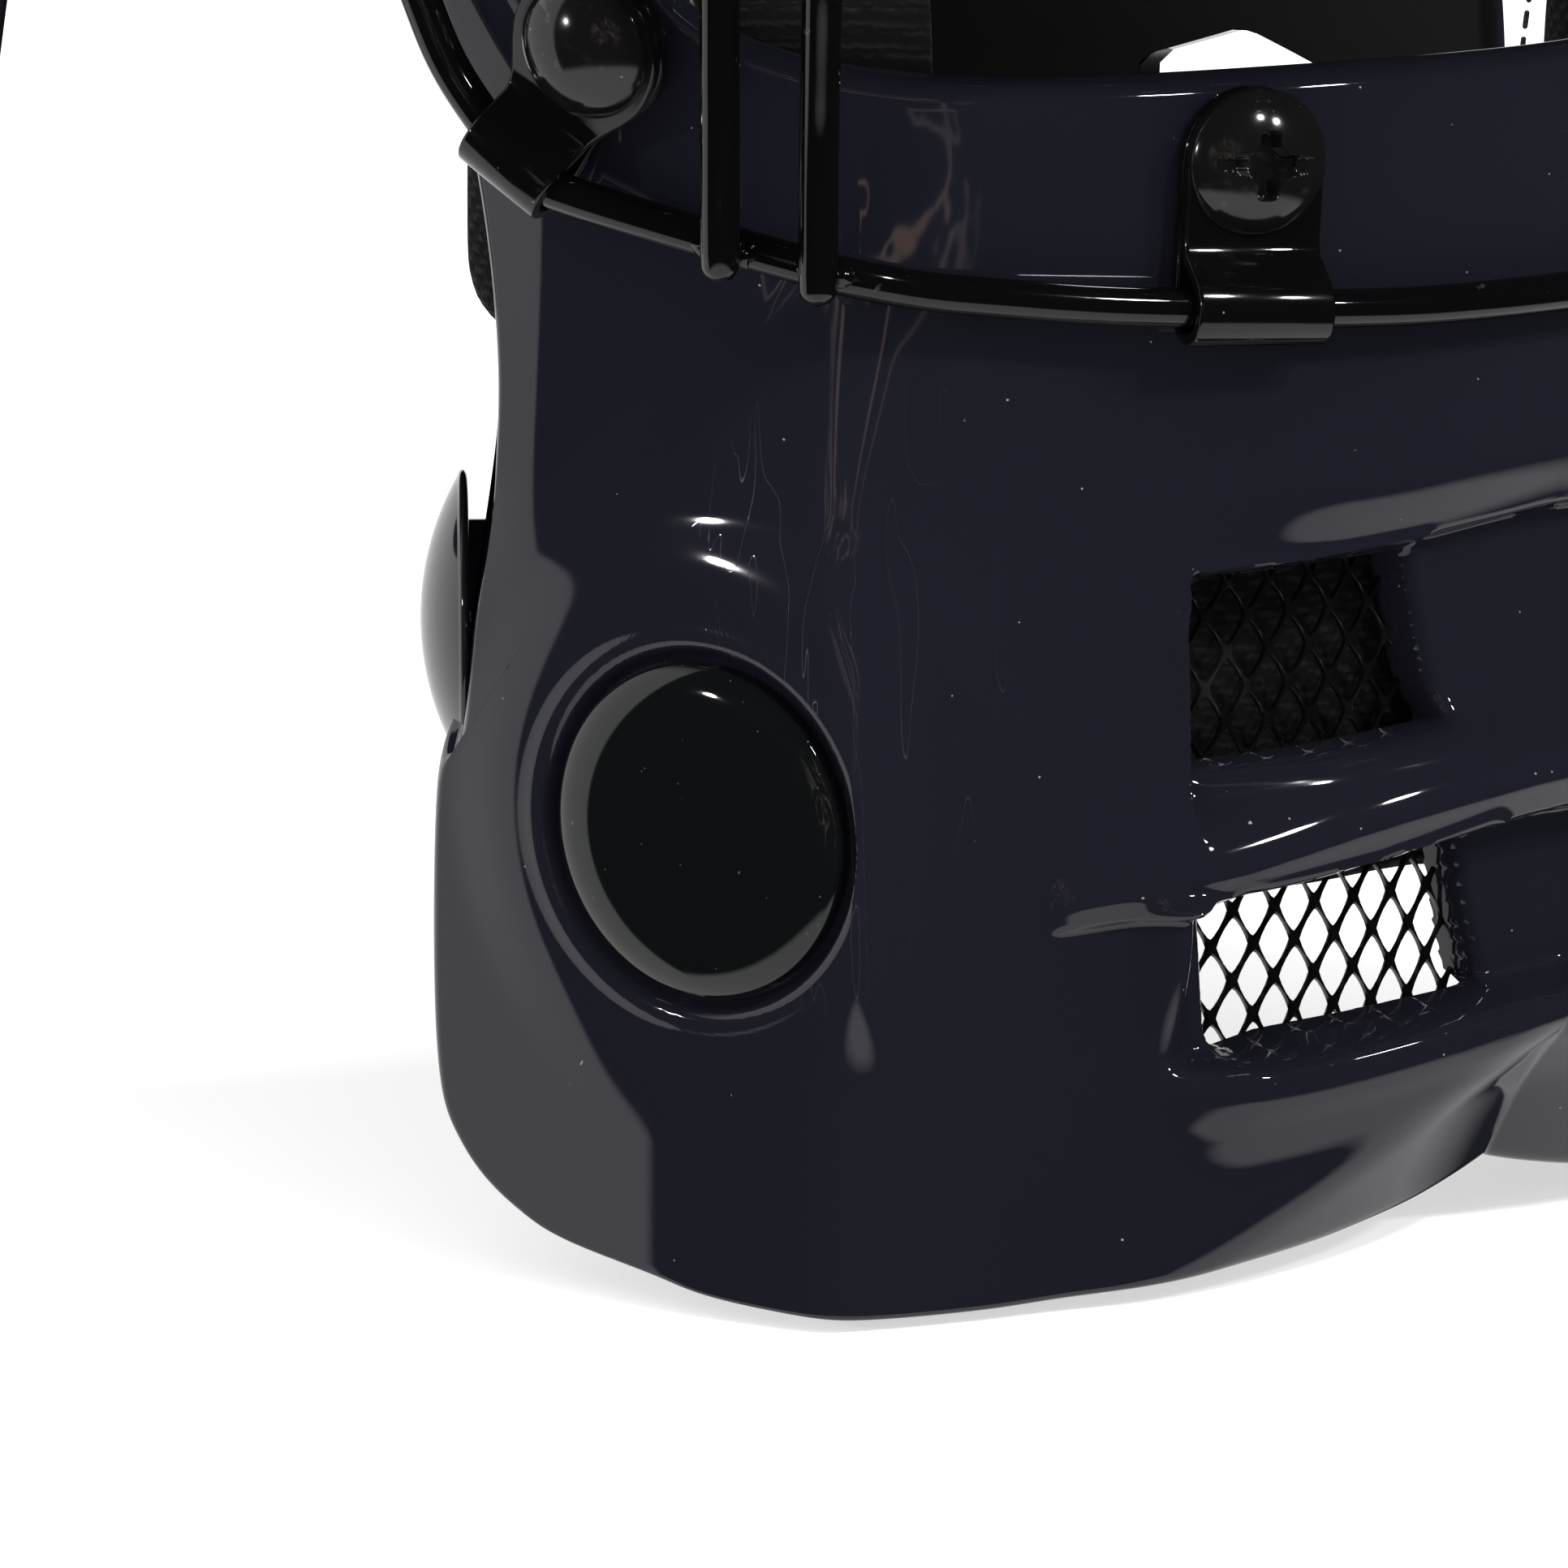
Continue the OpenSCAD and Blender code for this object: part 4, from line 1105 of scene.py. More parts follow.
def back_plate(material):
    step = 2.2
    parts = Parts()
    for inner in (False, True):
        p = plate_grid(inner, step)
        quads = grid_faces(*p.shape[:2], flip=inner)
        verts, faces, cut = clip(p.reshape(-1, 3), quads, gap_in_plate(p).reshape(-1))
        parts.add(verts, faces)
        if not inner:
            for i, j in cut:
                a, b = verts[i], verts[j]
                inward = np.array([-np.sign(a[0]) * PLATE_WALL, 0, 0])
                parts.add([a, b, b + inward, a + inward], [(0, 1, 2, 3)])
    boss = [(RIVET_R, -PLATE_BACK), (BOSS_R + 0.9, -PLATE_BACK), (BOSS_R + 1.5, -PLATE_BACK + 0.6),
            (BOSS_R + 1.5, -PLATE_FACE - 0.6), (BOSS_R + 0.9, -PLATE_FACE), (RIVET_R, -PLATE_FACE)]
    parts.turn_both(AT_PIVOT, boss, 72)
    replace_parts(parts.make("back_plate_skin", "rear", "shell", material, smooth=math.radians(45)),
                "back_plate")


def pivots(materials):
    parts = Parts()
    head = ([(0.01, -PLATE_BACK - 1.8), (4.4, -PLATE_BACK - 1.75), (5.6, -PLATE_BACK - 1.3),
             (6, -PLATE_BACK - 0.5), (6, -PLATE_BACK - 0.06),
             (RIVET_R, -PLATE_BACK - 0.06), (RIVET_R, 0.85), (6.5, 0.85), (6.5, 1.3)]
            + arc(5.6, 1.3, 0.9, 0, 70, 6) + [(3, 2.36), (0.01, 2.4)])
    parts.turn_both(AT_PIVOT, head, 72)
    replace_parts(parts.make("rivet_bodies", "helmet", "rivet", materials["rivet"]), "pivot_rivets")
    parts = Parts()
    ring = [(RIVET_R + 0.1, -PLATE_FACE + 0.06), (7.8, -PLATE_FACE + 0.06), (8, -PLATE_FACE + 0.2),
            (8, -BOSS_IN - 0.2), (7.8, -BOSS_IN - 0.06), (RIVET_R + 0.1, -BOSS_IN - 0.06),
            (RIVET_R + 0.1, -PLATE_FACE + 0.06)]
    parts.turn_both(AT_PIVOT, ring, 72)
    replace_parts(parts.make("washer_rings", "helmet", "washer", materials["washer"]), "pivot_washers")


# Pads

PUFF_MOST = 0.002  # metres
STITCH_INSET = 4.2


def pad_shape(u, v, width, height, r=7.0):
    """How full a cushion is, from 0 at its seam to 1 over its middle."""
    e = np.minimum(np.minimum(u, 1 - u) * width, np.minimum(v, 1 - v) * height)
    corner = np.hypot(np.maximum(0, r - np.minimum(u, 1 - u) * width),
                      np.maximum(0, r - np.minimum(v, 1 - v) * height))
    e = np.where(corner > 0, np.minimum(e, np.maximum(0, r - corner)), e)
    return np.sqrt(np.maximum(0, 1 - np.maximum(0, 1 - e / r) ** 2))


def puffed(obj, wall, most):
    """Blows a cushion up as cloth, with its back held where it is glued."""
    remesh = obj.modifiers.new("even", "REMESH")
    remesh.mode = "VOXEL"
    remesh.voxel_size = 0.0035
    graph = bpy.context.evaluated_depsgraph_get()
    even = bpy.data.meshes.new_from_object(obj.evaluated_get(graph))
    obj.modifiers.remove(remesh)
    obj.data = even
    start = points_of(even)
    cloth = obj.modifiers.new("cloth", "CLOTH")
    cloth.settings.quality = 4
    cloth.settings.mass = 0.2
    cloth.settings.tension_stiffness = 12
    cloth.settings.compression_stiffness = 12
    cloth.settings.bending_stiffness = 0.6
    cloth.settings.use_pressure = True
    cloth.settings.uniform_pressure_force = 4
    cloth.settings.effector_weights.gravity = 0
    cloth.point_cache.frame_start = 1
    cloth.point_cache.frame_end = 20
    scene = bpy.context.scene
    for number in range(1, 21):
        scene.frame_set(number)
        graph = bpy.context.evaluated_depsgraph_get()
    moved = points_of(obj.evaluated_get(graph).data)
    obj.modifiers.remove(cloth)
    scene.frame_set(1)
    shift = moved - start
    length = np.linalg.norm(shift, axis=1, keepdims=True)
    shift = shift * np.minimum(1, most / np.maximum(length, 1e-6))
    free = ease(0.6, 3.5, wall(start * 1000))[:, None]
    even.vertices.foreach_set("co", (start + shift * free).astype(np.float32).reshape(-1))
    fuller = obj.modifiers.new("fuller", "SUBSURF")
    fuller.levels = 1
    graph = bpy.context.evaluated_depsgraph_get()
    obj.data = bpy.data.meshes.new_from_object(obj.evaluated_get(graph))
    obj.modifiers.remove(fuller)


def points_of(mesh):
    co = np.empty(len(mesh.vertices) * 3, np.float32)
    mesh.vertices.foreach_get("co", co)
    return co.reshape(-1, 3).astype(float)


def seam(parts, line, r=0.55, pitch=2.6):
    """Stitches along a line: short raised threads with gaps between them."""
    line = np.asarray(line, float)
    travel = np.concatenate([[0], np.cumsum(np.linalg.norm(np.diff(line, axis=0), axis=1))])
    for k in range(int(travel[-1] / pitch)):
        at = np.linspace(k * pitch, (k + 0.72) * pitch, 5)
        p = np.stack([np.interp(at, travel, line[:, i]) for i in range(3)], -1)
        parts.add(*wire(p, r * 0.5, sides=6))


def cushion(name, node, body, back, thick, both, materials):
    """One pad, or a pair, from its glued back and its thickness."""
    width, height = spans(back)
    n, m = int(width / 1.8) + 1, int(height / 1.8) + 1
    v, u = np.meshgrid(np.linspace(0, 1, m), np.linspace(0, 1, n), indexing="ij")
    full = pad_shape(u, v, width, height)
    ripple = np.array([noise.noise(Vector((a * width / 14, b * height / 14, 3.0 + width))) for a, b
                       in zip(u.ravel(), v.ravel())]).reshape(u.shape)
    front = back(u, v, 0.4 + (thick - 0.4) * full * (0.93 + 0.07 * ripple))
    rear = back(u, v, 0 * u)
    verts = np.concatenate([front.reshape(-1, 3), rear.reshape(-1, 3)])
    quads = grid_faces(m, n)
    ring = np.concatenate([np.arange(n), np.arange(1, m) * n + n - 1,
                           (m - 1) * n + np.arange(n - 2, -1, -1), np.arange(m - 2, 0, -1) * n])
    side = np.stack([ring, np.roll(ring, -1), np.roll(ring, -1) + n * m, ring + n * m], -1)
    faces = np.concatenate([quads, quads[:, ::-1] + n * m, side])
    middle = rear.reshape(-1, 3)
    tree = KDTree(len(middle))
    for i, p in enumerate(middle):
        tree.insert(p, i)
    tree.balance()

    def wall(points):
        return np.array([tree.find(p)[2] for p in points])

    obj = object_of(name, verts, faces, body, materials["pad"], smooth=None)
    merged(obj)
    puffed(obj, wall, PUFF_MOST)
    if both:
        mesh = bmesh.new()
        mesh.from_mesh(obj.data)
        copy = bmesh.ops.duplicate(mesh, geom=mesh.verts[:] + mesh.edges[:] + mesh.faces[:])["geom"]
        for vert in [g for g in copy if isinstance(g, bmesh.types.BMVert)]:
            vert.co.x = -vert.co.x
        bmesh.ops.recalc_face_normals(mesh, faces=mesh.faces)
        mesh.to_mesh(obj.data)
        mesh.free()
    obj.data.polygons.foreach_set("use_smooth", [True] * len(obj.data.polygons))
    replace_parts(obj, node)
    du, dv = STITCH_INSET / width, STITCH_INSET / height
    steps = np.linspace(0, 1, 60)
    loop = np.concatenate([np.stack([mix(du, 1 - du, steps), np.full(60, dv)], -1),
                           np.stack([np.full(60, 1 - du), mix(dv, 1 - dv, steps)], -1),
                           np.stack([mix(1 - du, du, steps), np.full(60, 1 - dv)], -1),
                           np.stack([np.full(60, du), mix(1 - dv, dv, steps)], -1)])
    shape = pad_shape(loop[:, 0], loop[:, 1], width, height)
    line = back(loop[:, 0], loop[:, 1], 0.5 + (thick - 0.4) * shape)
    parts = Parts()
    seam(parts, line)
    if both:
        seam(parts, line * (-1, 1, 1))
    parts.make(name + "_stitches", body, "pad", materials["thread"])
    return obj


# The glued back of each pad, by its two spans from 0 to 1 and the distance off it

def wall_back(a0, a1, z0, z1):
    """On the shell's inner face, between two angles and two heights."""
    return lambda u, v, out: on_surface(mix(a0, a1, u), mix(z0, z1, v), SHELL_WALL + 0.9 + out)


def plate_back(a0, a1, z0, z1):
    """On the back plate's inner face."""
    return lambda u, v, out: plate_point(mix(a0, a1, u), mix(z0, z1, v), PLATE_WALL + 0.5 + out)


def chin_back(u, v, out):
    """Hung behind the vent meshes, lower than the part's own pad."""
    degrees, z = mix(-25, 25, u), mix(35 - 3 * np.sin(math.pi * u), 95, v)
    return on_surface(degrees, z, mix(SHELL_WALL + 5.6, SHELL_WALL + 0.9, ease(66, 76, z)) + out)


def crown_back(u, v, out):
    a, b = np.radians(mix(36, -18, v)), np.radians(mix(21, -21, u))
    way = unit(np.stack([np.sin(b), -np.sin(a), np.cos(a) * np.cos(b)], -1))
    return cast(way, SHELL_WALL + 1.8 + out)


def spans(back):
    """How long a pad is along each of its middle lines."""
    half = np.linspace(0, 1, 20)
    mid = np.full(20, 0.5)
    lines = back(half, mid, np.zeros(20)), back(mid, half, np.zeros(20))
    return [float(np.linalg.norm(np.diff(p, axis=0), axis=1).sum()) for p in lines]


def pads(materials):
    for name, node, body, back, thick, both in (
            ("chin_cushion", "chin_pad", "helmet", chin_back, 8.4, False),
            ("cheek_cushions", "cheek_pads", "helmet", wall_back(31, 57.8, 84, 119), PAD_DEPTH, True),
            ("temple_cushions", "temple_pads", "helmet", wall_back(56, 79, 156, 206), PAD_DEPTH, True),
            ("brow_cushion", "brow_pad", "helmet", wall_back(-48, 48, 213, 229), 9.6, False),
            ("crown_cushion", "crown_pad", "helmet", crown_back, PAD_DEPTH, False),
            ("occipital_cushion", "occipital_pad", "rear", plate_back(138, 222, 148, 228), PAD_DEPTH, False),
            ("nape_cushion", "nape_pad", "rear", plate_back(150, 210, 100, 134), PAD_DEPTH, False)):
        cushion(name, node, body, back, thick, both, materials)


# Materials

class Nodes:
    """Shader nodes, added to one tree."""

    def __init__(self, tree):
        self.tree = tree
        tree.nodes.clear()

    def add(self, kind, inputs=None, **settings):
        node = self.tree.nodes.new(kind)
        for key, value in settings.items():
            setattr(node, key, value)
        for key, value in (inputs or {}).items():
            if isinstance(value, bpy.types.NodeSocket):
                self.tree.links.new(value, node.inputs[key])
            else:
                node.inputs[key].default_value = value
        return node

    def noise(self, scale, detail=2.0, rough=0.5, warp=0.0, place=None):
        return self.add("ShaderNodeTexNoise", {"Vector": place or self.place, "Scale": scale,
                                               "Detail": detail, "Roughness": rough,
                                               "Distortion": warp}).outputs["Fac"]

    def range(self, value, low, high, to_low=0.0, to_high=1.0):
        return self.add("ShaderNodeMapRange", {"Value": value, "From Min": low, "From Max": high,
                                               "To Min": to_low, "To Max": to_high}).outputs["Result"]

    def math(self, operation, a, b=0.0):
        return self.add("ShaderNodeMath", {0: a, 1: b}, operation=operation).outputs[0]

    def times(self, a, b):
        return self.math("MULTIPLY", a, b)

    def plus(self, a, b):
        return self.math("ADD", a, b)

    def most(self, a, b):
        return self.math("MAXIMUM", a, b)

    def mix(self, fac, a, b):
        return self.add("ShaderNodeMix", {0: fac, 6: a, 7: b}, data_type="RGBA").outputs[2]

    def vector(self, operation, a, b=(0.0, 0.0, 0.0)):
        node = self.add("ShaderNodeVectorMath", {0: a, 1: b}, operation=operation)
        return node.outputs["Value" if operation == "DOT_PRODUCT" else "Vector"]


class Look(Nodes):
    """A material built node by node, in metres on the piece itself."""

    def __init__(self, name):
        self.material = bpy.data.materials.new(name)
        self.material.use_nodes = True
        super().__init__(self.material.node_tree)
        self.place = self.add("ShaderNodeTexCoord").outputs["Object"]

    def stretched(self, scale, turn=(0, 0, 0)):
        return self.add("ShaderNodeMapping", {"Vector": self.place, "Scale": scale,
                                              "Rotation": [math.radians(t) for t in turn]}).outputs["Vector"]

    def polish(self, scale, detail, low, high):
        """Roughness that changes across the surface between two values."""
        return self.range(self.noise(scale, detail), 0.3, 0.7, low, high)

    def bump(self, height, distance, strength=1.0, under=None):
        inputs = {"Height": height, "Distance": distance, "Strength": strength}
        if under:
            inputs["Normal"] = under
        return self.add("ShaderNodeBump", inputs).outputs["Normal"]

    def specks(self, scale, size, share):
        """Scattered small spots, some of the cells having one each."""
        cells = self.add("ShaderNodeTexVoronoi", {"Vector": self.place, "Scale": scale}).outputs
        chance = self.add("ShaderNodeSeparateColor", {0: cells["Color"]}).outputs[0]
        ragged = self.plus(cells["Distance"], self.polish(scale * 9, 2.0, -size * 0.5, size * 0.5))
        return self.times(self.math("LESS_THAN", chance, share), self.range(ragged, size, size * 0.6))

    def scratches(self, scale, stretch, turn, width, patches):
        """Fine lines along one direction, in patches."""
        lines = self.noise(scale, 1.0, 0.4, 0.3, self.stretched(stretch, turn))
        line = self.range(self.math("ABSOLUTE", self.math("SUBTRACT", lines, 0.5)), 0, width, 1, 0)
        return self.times(line, self.range(self.noise(patches, 2), 0.62, 0.72))

    def finish(self, **inputs):
        names = {key: key.replace("_", " ") for key in inputs}
        node = self.add("ShaderNodeBsdfPrincipled", {names[k]: v for k, v in inputs.items()})
        out = self.add("ShaderNodeOutputMaterial")
        self.tree.links.new(node.outputs[0], out.inputs["Surface"])
        return self.material


def shade(r, g, b):
    """A colour as it is seen on a screen, 0 to 255, for a shader's socket."""
    return tuple((c / 255 / 12.92 if c <= 10 else ((c / 255 + 0.055) / 1.055) ** 2.4)
                 for c in (r, g, b)) + (1.0,)


def shell_look():
    """Glossy dark blue-black plastic with dust, smears and fine scratches; its inner face is matt and painted
    near black as shade.
    """
    k = Look("shell_gloss")
    dust = k.most(k.specks(200, 0.035, 0.20), k.specks(520, 0.06, 0.10))
    fine = k.most(k.scratches(34, (9, 9, 0.8), (12, 8, 0), 0.0022, 19),
                  k.scratches(30, (0.7, 11, 9), (0, 14, 33), 0.0018, 15))
    smear = k.range(k.noise(16, 4, 0.6, 0.6), 0.48, 0.75)
    cloud = k.range(k.noise(9, 3), 0.3, 0.7)
    base = k.mix(cloud, shade(24, 24, 33), shade(28, 28, 37))
    base = k.mix(k.times(fine, 0.22), base, shade(110, 112, 122))
    base = k.mix(k.times(dust, 0.75), base, shade(170, 168, 166))
    rough = k.plus(k.range(smear, 0, 1, 0.045, 0.085), k.times(k.most(fine, dust), 0.4))
    bump = k.bump(k.noise(300, 2), 0.000004, 0.35)
    bump = k.bump(k.times(fine, -1.0), 0.00002, 0.5, bump)
    # The inner face is unpolished, and its near-black colour is painted shade for the dark inside of the
    # helmet. It faces the head's core, whose height counts only upward
    core = k.vector("MAXIMUM", k.vector("SUBTRACT", k.place, tuple(CENTRE * MM)), (-1.0, -1.0, 0.0))
    facing = k.add("ShaderNodeTexCoord").outputs["Normal"]
    inside = k.range(k.vector("DOT_PRODUCT", k.vector("NORMALIZE", core), facing), -0.1, -0.3)
    # Painted shade: the inner face is coloured darker than the outer plastic
    matt_painted_shade = k.mix(k.noise(240, 4), shade(4, 4, 5), shade(10, 10, 11))
    return k.finish(Base_Color=k.mix(inside, base, matt_painted_shade), IOR=1.5,
                    Roughness=k.most(rough, k.times(inside, 0.62)),
                    Specular_IOR_Level=k.range(inside, 0, 1, 0.5, 0.2), Normal=bump)


def wire_look():
    """Thick glossy black paint on steel wire."""
    k = Look("wire_paint")
    dust = k.specks(300, 0.06, 0.2)
    chips = k.range(k.noise(420, 3), 0.70, 0.73)
    base = k.mix(k.times(dust, 0.8), shade(7, 7, 8), shade(165, 160, 155))
    base = k.mix(k.times(chips, 0.3), base, shade(90, 88, 86))
    rough = k.plus(k.polish(90, 3, 0.03, 0.09), k.times(dust, 0.5))
    bump = k.bump(k.noise(350, 3), 0.00003, 0.25)
    return k.finish(Base_Color=base, Roughness=rough, IOR=1.5, Normal=bump)


def clip_look():
    """Glossy black enamel on sheet steel, with grit caught in it."""
    k = Look("clip_enamel")
    worn = k.range(k.noise(260, 4, 0.6), 0.66, 0.74)
    grit = k.most(k.specks(320, 0.05, 0.3), k.specks(700, 0.07, 0.2))
    base = k.mix(k.times(worn, 0.3), shade(7, 7, 8), shade(48, 46, 44))
    base = k.mix(k.times(grit, 0.8), base, shade(150, 145, 138))
    rough = k.plus(k.polish(120, 4, 0.05, 0.14), k.times(grit, 0.4))
    bump = k.bump(k.noise(420, 3), 0.00003, 0.3, k.bump(k.noise(90, 2), 0.0001, 0.15))
    return k.finish(Base_Color=base, Roughness=rough, IOR=1.5, Normal=bump)


def metal_look(name, colour, low, high, grain, metallic=1.0):
    """Plated or bare metal whose polish changes across its surface."""
    k = Look(name)
    stain = k.range(k.noise(140, 5, 0.65), 0.4, 0.7)
    base = k.mix(stain, shade(*colour), shade(*[c * 0.62 for c in colour]))
    rough = k.polish(300, 4, low, high)
    bump = k.bump(k.noise(900, 3), grain, 0.5)
    return k.finish(Base_Color=base, Metallic=metallic, Roughness=rough, Normal=bump)


def screw_look():
    """Black nickel plate, with fine wear and grit in it."""
    k = Look("screw_plate")
    worn = k.range(k.noise(330, 5, 0.65), 0.6, 0.7)
    grit = k.specks(600, 0.07, 0.25)
    base = k.mix(k.times(worn, 0.5), shade(64, 63, 64), shade(120, 114, 108))
    base = k.mix(k.times(grit, 0.7), base, shade(190, 186, 178))
    rough = k.plus(k.polish(200, 4, 0.07, 0.18), k.times(grit, 0.3))
    return k.finish(Base_Color=base, Metallic=0.9, Roughness=rough,
                    Normal=k.bump(k.noise(500, 3), 0.00004, 0.35))


def mesh_look():
    """Black stove paint on stretched metal, dusty in places."""
    k = Look("mesh_paint")
    dust = k.most(k.specks(500, 0.1, 0.2), k.range(k.noise(60, 4), 0.62, 0.8))
    base = k.mix(k.times(dust, 0.2), shade(7, 7, 8), shade(96, 92, 88))
    rough = k.polish(200, 3, 0.16, 0.34)
    return k.finish(Base_Color=base, Roughness=rough, Normal=k.bump(k.noise(800, 3), 0.00004, 0.6))


def badge_look():
    """A bare black disc under a clear domed lens, with fine dust."""
    k = Look("badge_lens")
    dust = k.most(k.specks(420, 0.06, 0.3), k.specks(900, 0.08, 0.3))
    base = k.mix(k.times(dust, 0.35), shade(12, 14, 15), shade(120, 124, 128))
    rough = k.plus(k.polish(40, 3, 0.03, 0.06), k.times(dust, 0.3))
    return k.finish(Base_Color=base, Roughness=rough, IOR=1.52)


def cap_look():
    """Glossy black plastic with a few rubbed marks."""
    k = Look("cap_gloss")
    dust = k.specks(300, 0.06, 0.25)
    rub = k.scratches(50, (12, 1.5, 12), (20, 0, 40), 0.01, 30)
    base = k.mix(k.times(dust, 0.6), shade(22, 22, 28), shade(150, 148, 146))
    rough = k.plus(0.06, k.times(k.most(rub, dust), 0.3))
    return k.finish(Base_Color=base, Roughness=rough, Normal=k.bump(k.noise(220, 2), 0.000006, 0.5))


def cloth_look():
    """Dark grey knitted cloth, its loops in rows, pilled here and there."""
    k = Look("pad_cloth")
    rows = k.add("ShaderNodeTexWave", {"Vector": k.place, "Scale": 320.0, "Distortion": 2.5, "Detail": 2.0,
                                       "Detail Scale": 3.0}, bands_direction="Z").outputs["Fac"]
    cols = k.add("ShaderNodeTexWave", {"Vector": k.place, "Scale": 260.0, "Distortion": 2.0, "Detail": 2.0,
                                       "Detail Scale": 3.0}, bands_direction="DIAGONAL").outputs["Fac"]
    loops = k.times(rows, cols)
    fuzz = k.noise(1500, 3)
    base = k.mix(loops, shade(7, 7, 8), shade(22, 22, 24))
    base = k.mix(k.range(k.noise(30, 4), 0.5, 0.8, 0, 0.3), base, shade(34, 33, 33))
    bump = k.bump(fuzz, 0.0001, 0.4, k.bump(loops, 0.0004, 0.7))
    return k.finish(Base_Color=base, Roughness=0.92, Sheen_Weight=0.06, Specular_IOR_Level=0.12,
                    Sheen_Roughness=0.5, Normal=bump)


def thread_look():
    """Twisted thread, a little lighter than the cloth."""
    k = Look("pad_thread")
    twist = k.add("ShaderNodeTexWave", {"Vector": k.place, "Scale": 900.0, "Distortion": 1.0},
                  bands_direction="DIAGONAL").outputs["Fac"]
    base = k.mix(twist, shade(34, 34, 36), shade(66, 65, 64))
    return k.finish(Base_Color=base, Roughness=0.85, Normal=k.bump(twist, 0.0001, 0.6))


def washer_look():
    """White nylon, slightly yellowed."""
    k = Look("washer_nylon")
    base = k.mix(k.range(k.noise(80, 3), 0.35, 0.65), shade(222, 220, 212), shade(204, 200, 186))
    return k.finish(Base_Color=base, Roughness=0.4, Subsurface_Weight=0.1,
                    Normal=k.bump(k.noise(600, 2), 0.00002, 0.4))


# Studio

TARGET = Vector((-0.066, -0.076, 0.0476))
VIEW_WIDTH = 139
VIEW_AZIMUTH, VIEW_ELEVATION, VIEW_DISTANCE = -42, 12, 1.0
WARM_WAY = (-0.762, -0.639, 0.105)
WARM_TINT = (0.95, 0.56, 0.40, 1.0)
SOFT_LIGHT = 0.85
# Name, azimuth, elevation, distance, size and power
LAMPS = (("lamp_high", 2, 43, 1.6, 0.14, 8.0), ("lamp_left", -104, 14, 1.8, 0.09, 6.0),
         ("lamp_right", 20, 34, 1.8, 0.16, 8.0))


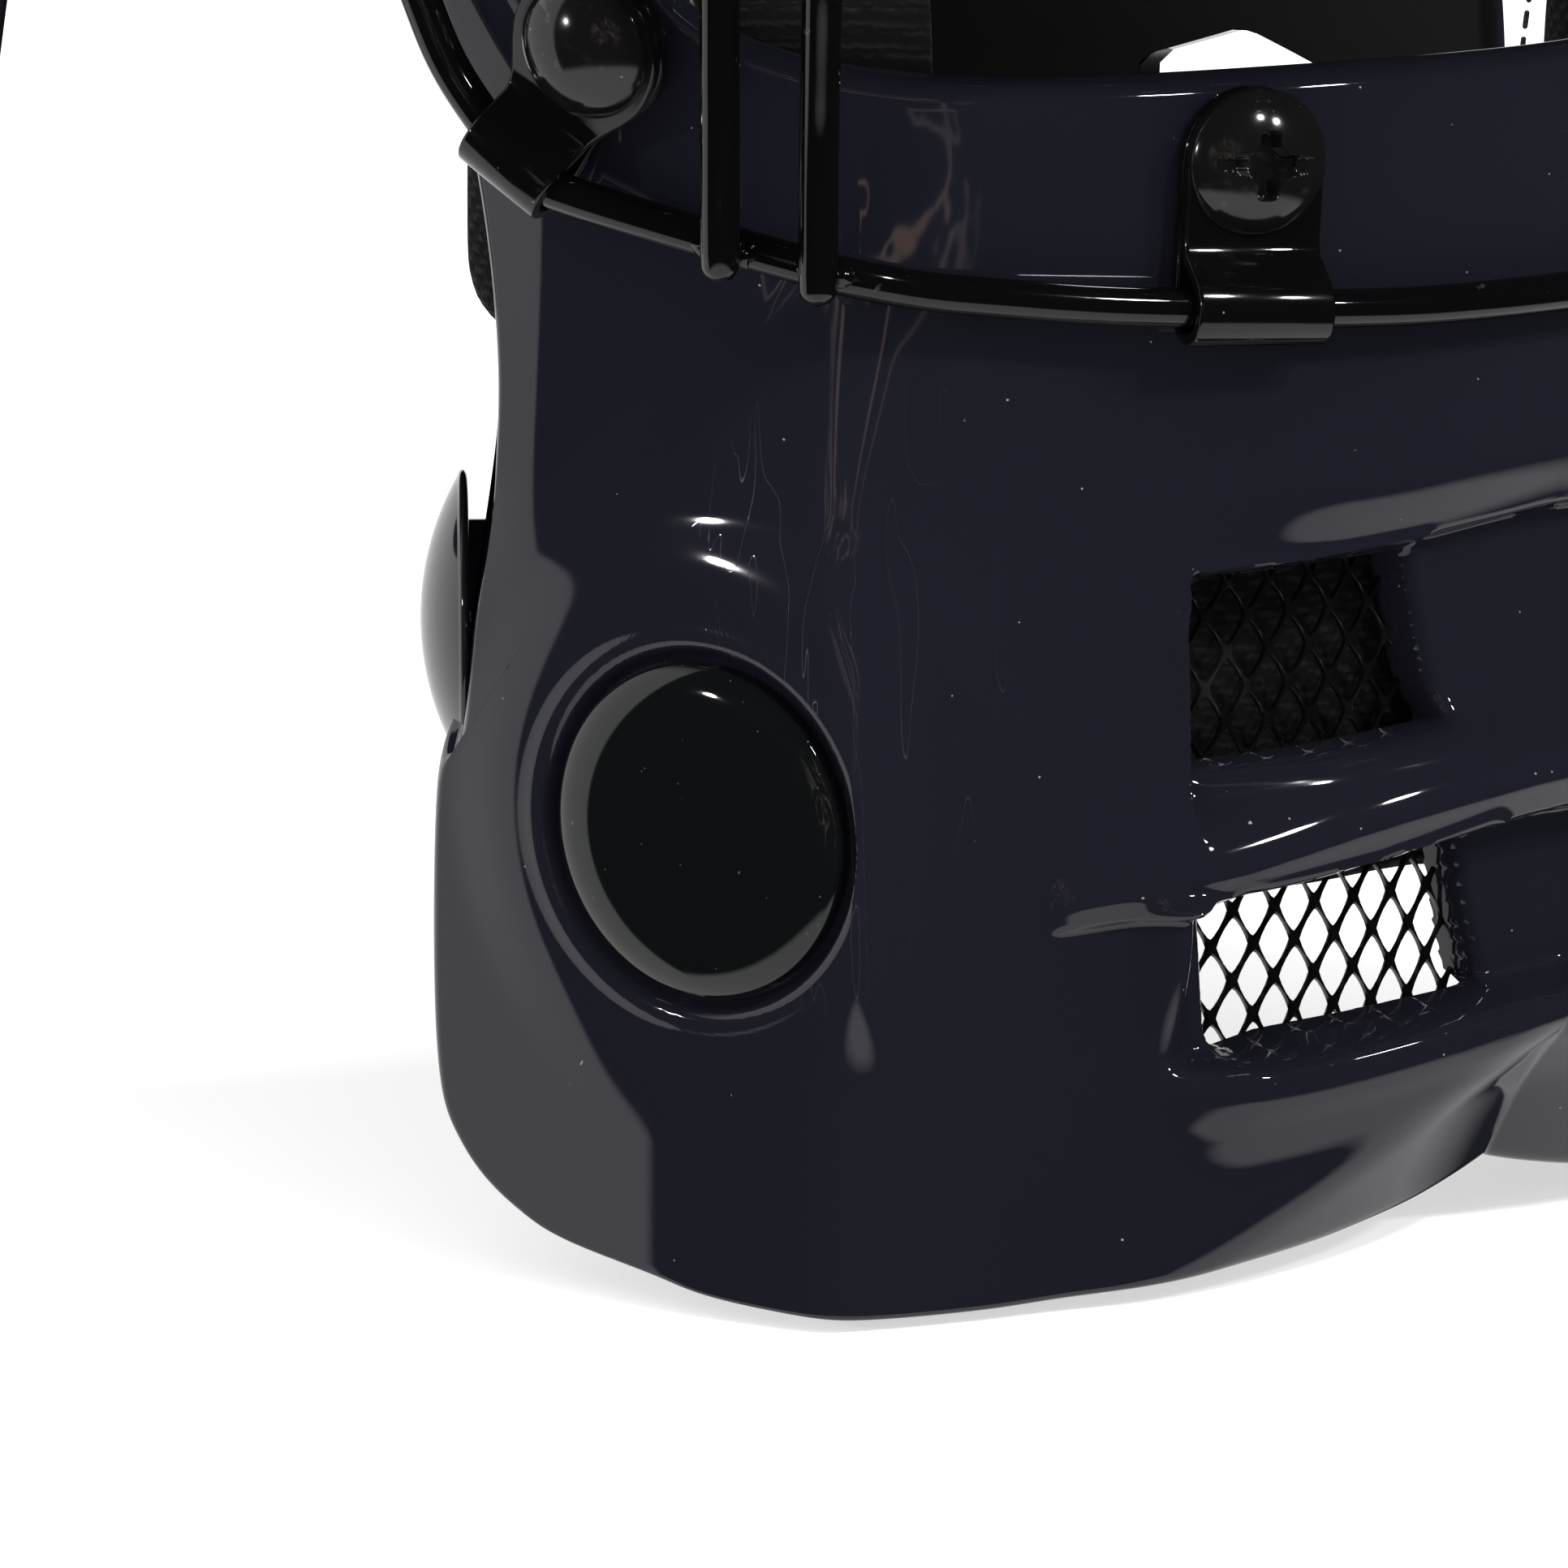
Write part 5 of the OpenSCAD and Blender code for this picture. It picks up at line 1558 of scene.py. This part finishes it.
def studio():
    scene = bpy.context.scene
    world = bpy.data.worlds.new("studio")
    world.use_nodes = True
    scene.world = world
    w = Nodes(world.node_tree)
    around = w.add("ShaderNodeTexCoord").outputs["Generated"]
    x, y, z = w.add("ShaderNodeSeparateXYZ", {0: around}).outputs
    level = w.math("SQRT", w.plus(w.times(x, x), w.times(y, y)))
    # A bright backdrop behind the camera's left, below a height, and a bright floor
    behind = w.range(w.math("DIVIDE", y, w.plus(level, 0.001)), 0.470, 0.492)
    bright = w.most(w.times(behind, w.range(z, 0.80, 0.55)), w.range(z, -0.55, -0.62))
    # Thin warm reflections in one part of the room
    room = w.noise(3.2, 3.0, warp=1.2, place=around)
    streak = w.range(w.math("ABSOLUTE", w.math("SUBTRACT", room, 0.5)), 0.03, 0.006)
    warm = w.times(streak, w.range(w.vector("DOT_PRODUCT", around, WARM_WAY), 0.93, 0.985))
    path = w.add("ShaderNodeLightPath").outputs
    seen, glossy = w.most(path["Is Camera Ray"], path["Is Transmission Ray"]), path["Is Glossy Ray"]
    mirror = w.most(w.range(bright, 0, 1, 0.012, 1.0), w.times(warm, 1.4))
    tint = w.mix(w.times(warm, glossy), (1.0, 1.0, 1.0, 1.0), WARM_TINT)
    strength = w.plus(w.times(glossy, mirror), w.times(w.math("SUBTRACT", 1.0, glossy), SOFT_LIGHT))
    background = w.add("ShaderNodeBackground", {"Color": tint, "Strength": w.most(strength, seen)})
    w.tree.links.new(background.outputs[0], w.add("ShaderNodeOutputWorld").inputs[0])

    floor = bpy.data.meshes.new("floor")
    wide, near, far = 2.5, -0.42, 3.5
    floor.from_pydata([(-wide, near, 0), (wide, near, 0), (wide, far, 0), (-wide, far, 0)], [],
                      [(0, 1, 2, 3)])
    floor = bpy.data.objects.new("floor", floor)
    scene.collection.objects.link(floor)
    floor.location.z = -0.0004
    k = Look("floor_paint")
    tone = k.mix(k.range(k.noise(3, 3), 0.3, 0.7), shade(244, 244, 243), shade(249, 249, 248))
    path = k.add("ShaderNodeLightPath")
    k.finish(Base_Color=tone, Roughness=0.9, Specular_IOR_Level=0.0,
             Emission_Color=(1.0, 1.0, 1.0, 1.0),
             Emission_Strength=k.times(path.outputs["Is Camera Ray"], 0.55))
    floor.data.materials.append(k.material)
    floor.visible_glossy = False

    for name, azimuth, elevation, distance, size, power in LAMPS:
        lamp = bpy.data.lights.new(name, "AREA")
        lamp.shape = "DISK"
        lamp.size = size
        lamp.energy = power
        obj = bpy.data.objects.new(name, lamp)
        scene.collection.objects.link(obj)
        aim(obj, azimuth, elevation, distance)

    camera = bpy.data.cameras.new("camera")
    camera.sensor_width = 36
    camera.lens = 36 * 1000 / VIEW_WIDTH
    camera.clip_start = 0.05
    view = bpy.data.objects.new("camera", camera)
    scene.collection.objects.link(view)
    aim(view, VIEW_AZIMUTH, VIEW_ELEVATION, VIEW_DISTANCE)
    scene.camera = view
    scene.view_settings.view_transform = "Standard"


def aim(obj, azimuth, elevation, distance):
    """Puts a lamp or the camera at a distance from the target, turned to it."""
    a, e = math.radians(azimuth), math.radians(elevation)
    way = Vector((math.sin(a) * math.cos(e), -math.cos(a) * math.cos(e), math.sin(e)))
    obj.location = TARGET + way * distance
    obj.rotation_euler = (TARGET - obj.location).to_track_quat("-Z", "Y").to_euler()


# Build

MATERIALS = {
    "shell": shell_look(), "wire": wire_look(), "clip": clip_look(),
    "screw": screw_look(),
    "nut": metal_look("nut_steel", (150, 150, 152), 0.2, 0.38, 0.00004),
    "rivet": metal_look("rivet_steel", (128, 128, 132), 0.16, 0.3, 0.00003),
    "mesh": mesh_look(), "badge": badge_look(), "cap": cap_look(),
    "pad": cloth_look(), "thread": thread_look(), "washer": washer_look(),
}
front_shell(MATERIALS["shell"])
back_plate(MATERIALS["shell"])
cage(MATERIALS["wire"])
fasteners(MATERIALS)
vent_meshes(MATERIALS["mesh"])
badges(MATERIALS["badge"])
caps(MATERIALS["cap"])
pivots(MATERIALS)
pads(MATERIALS)
studio()
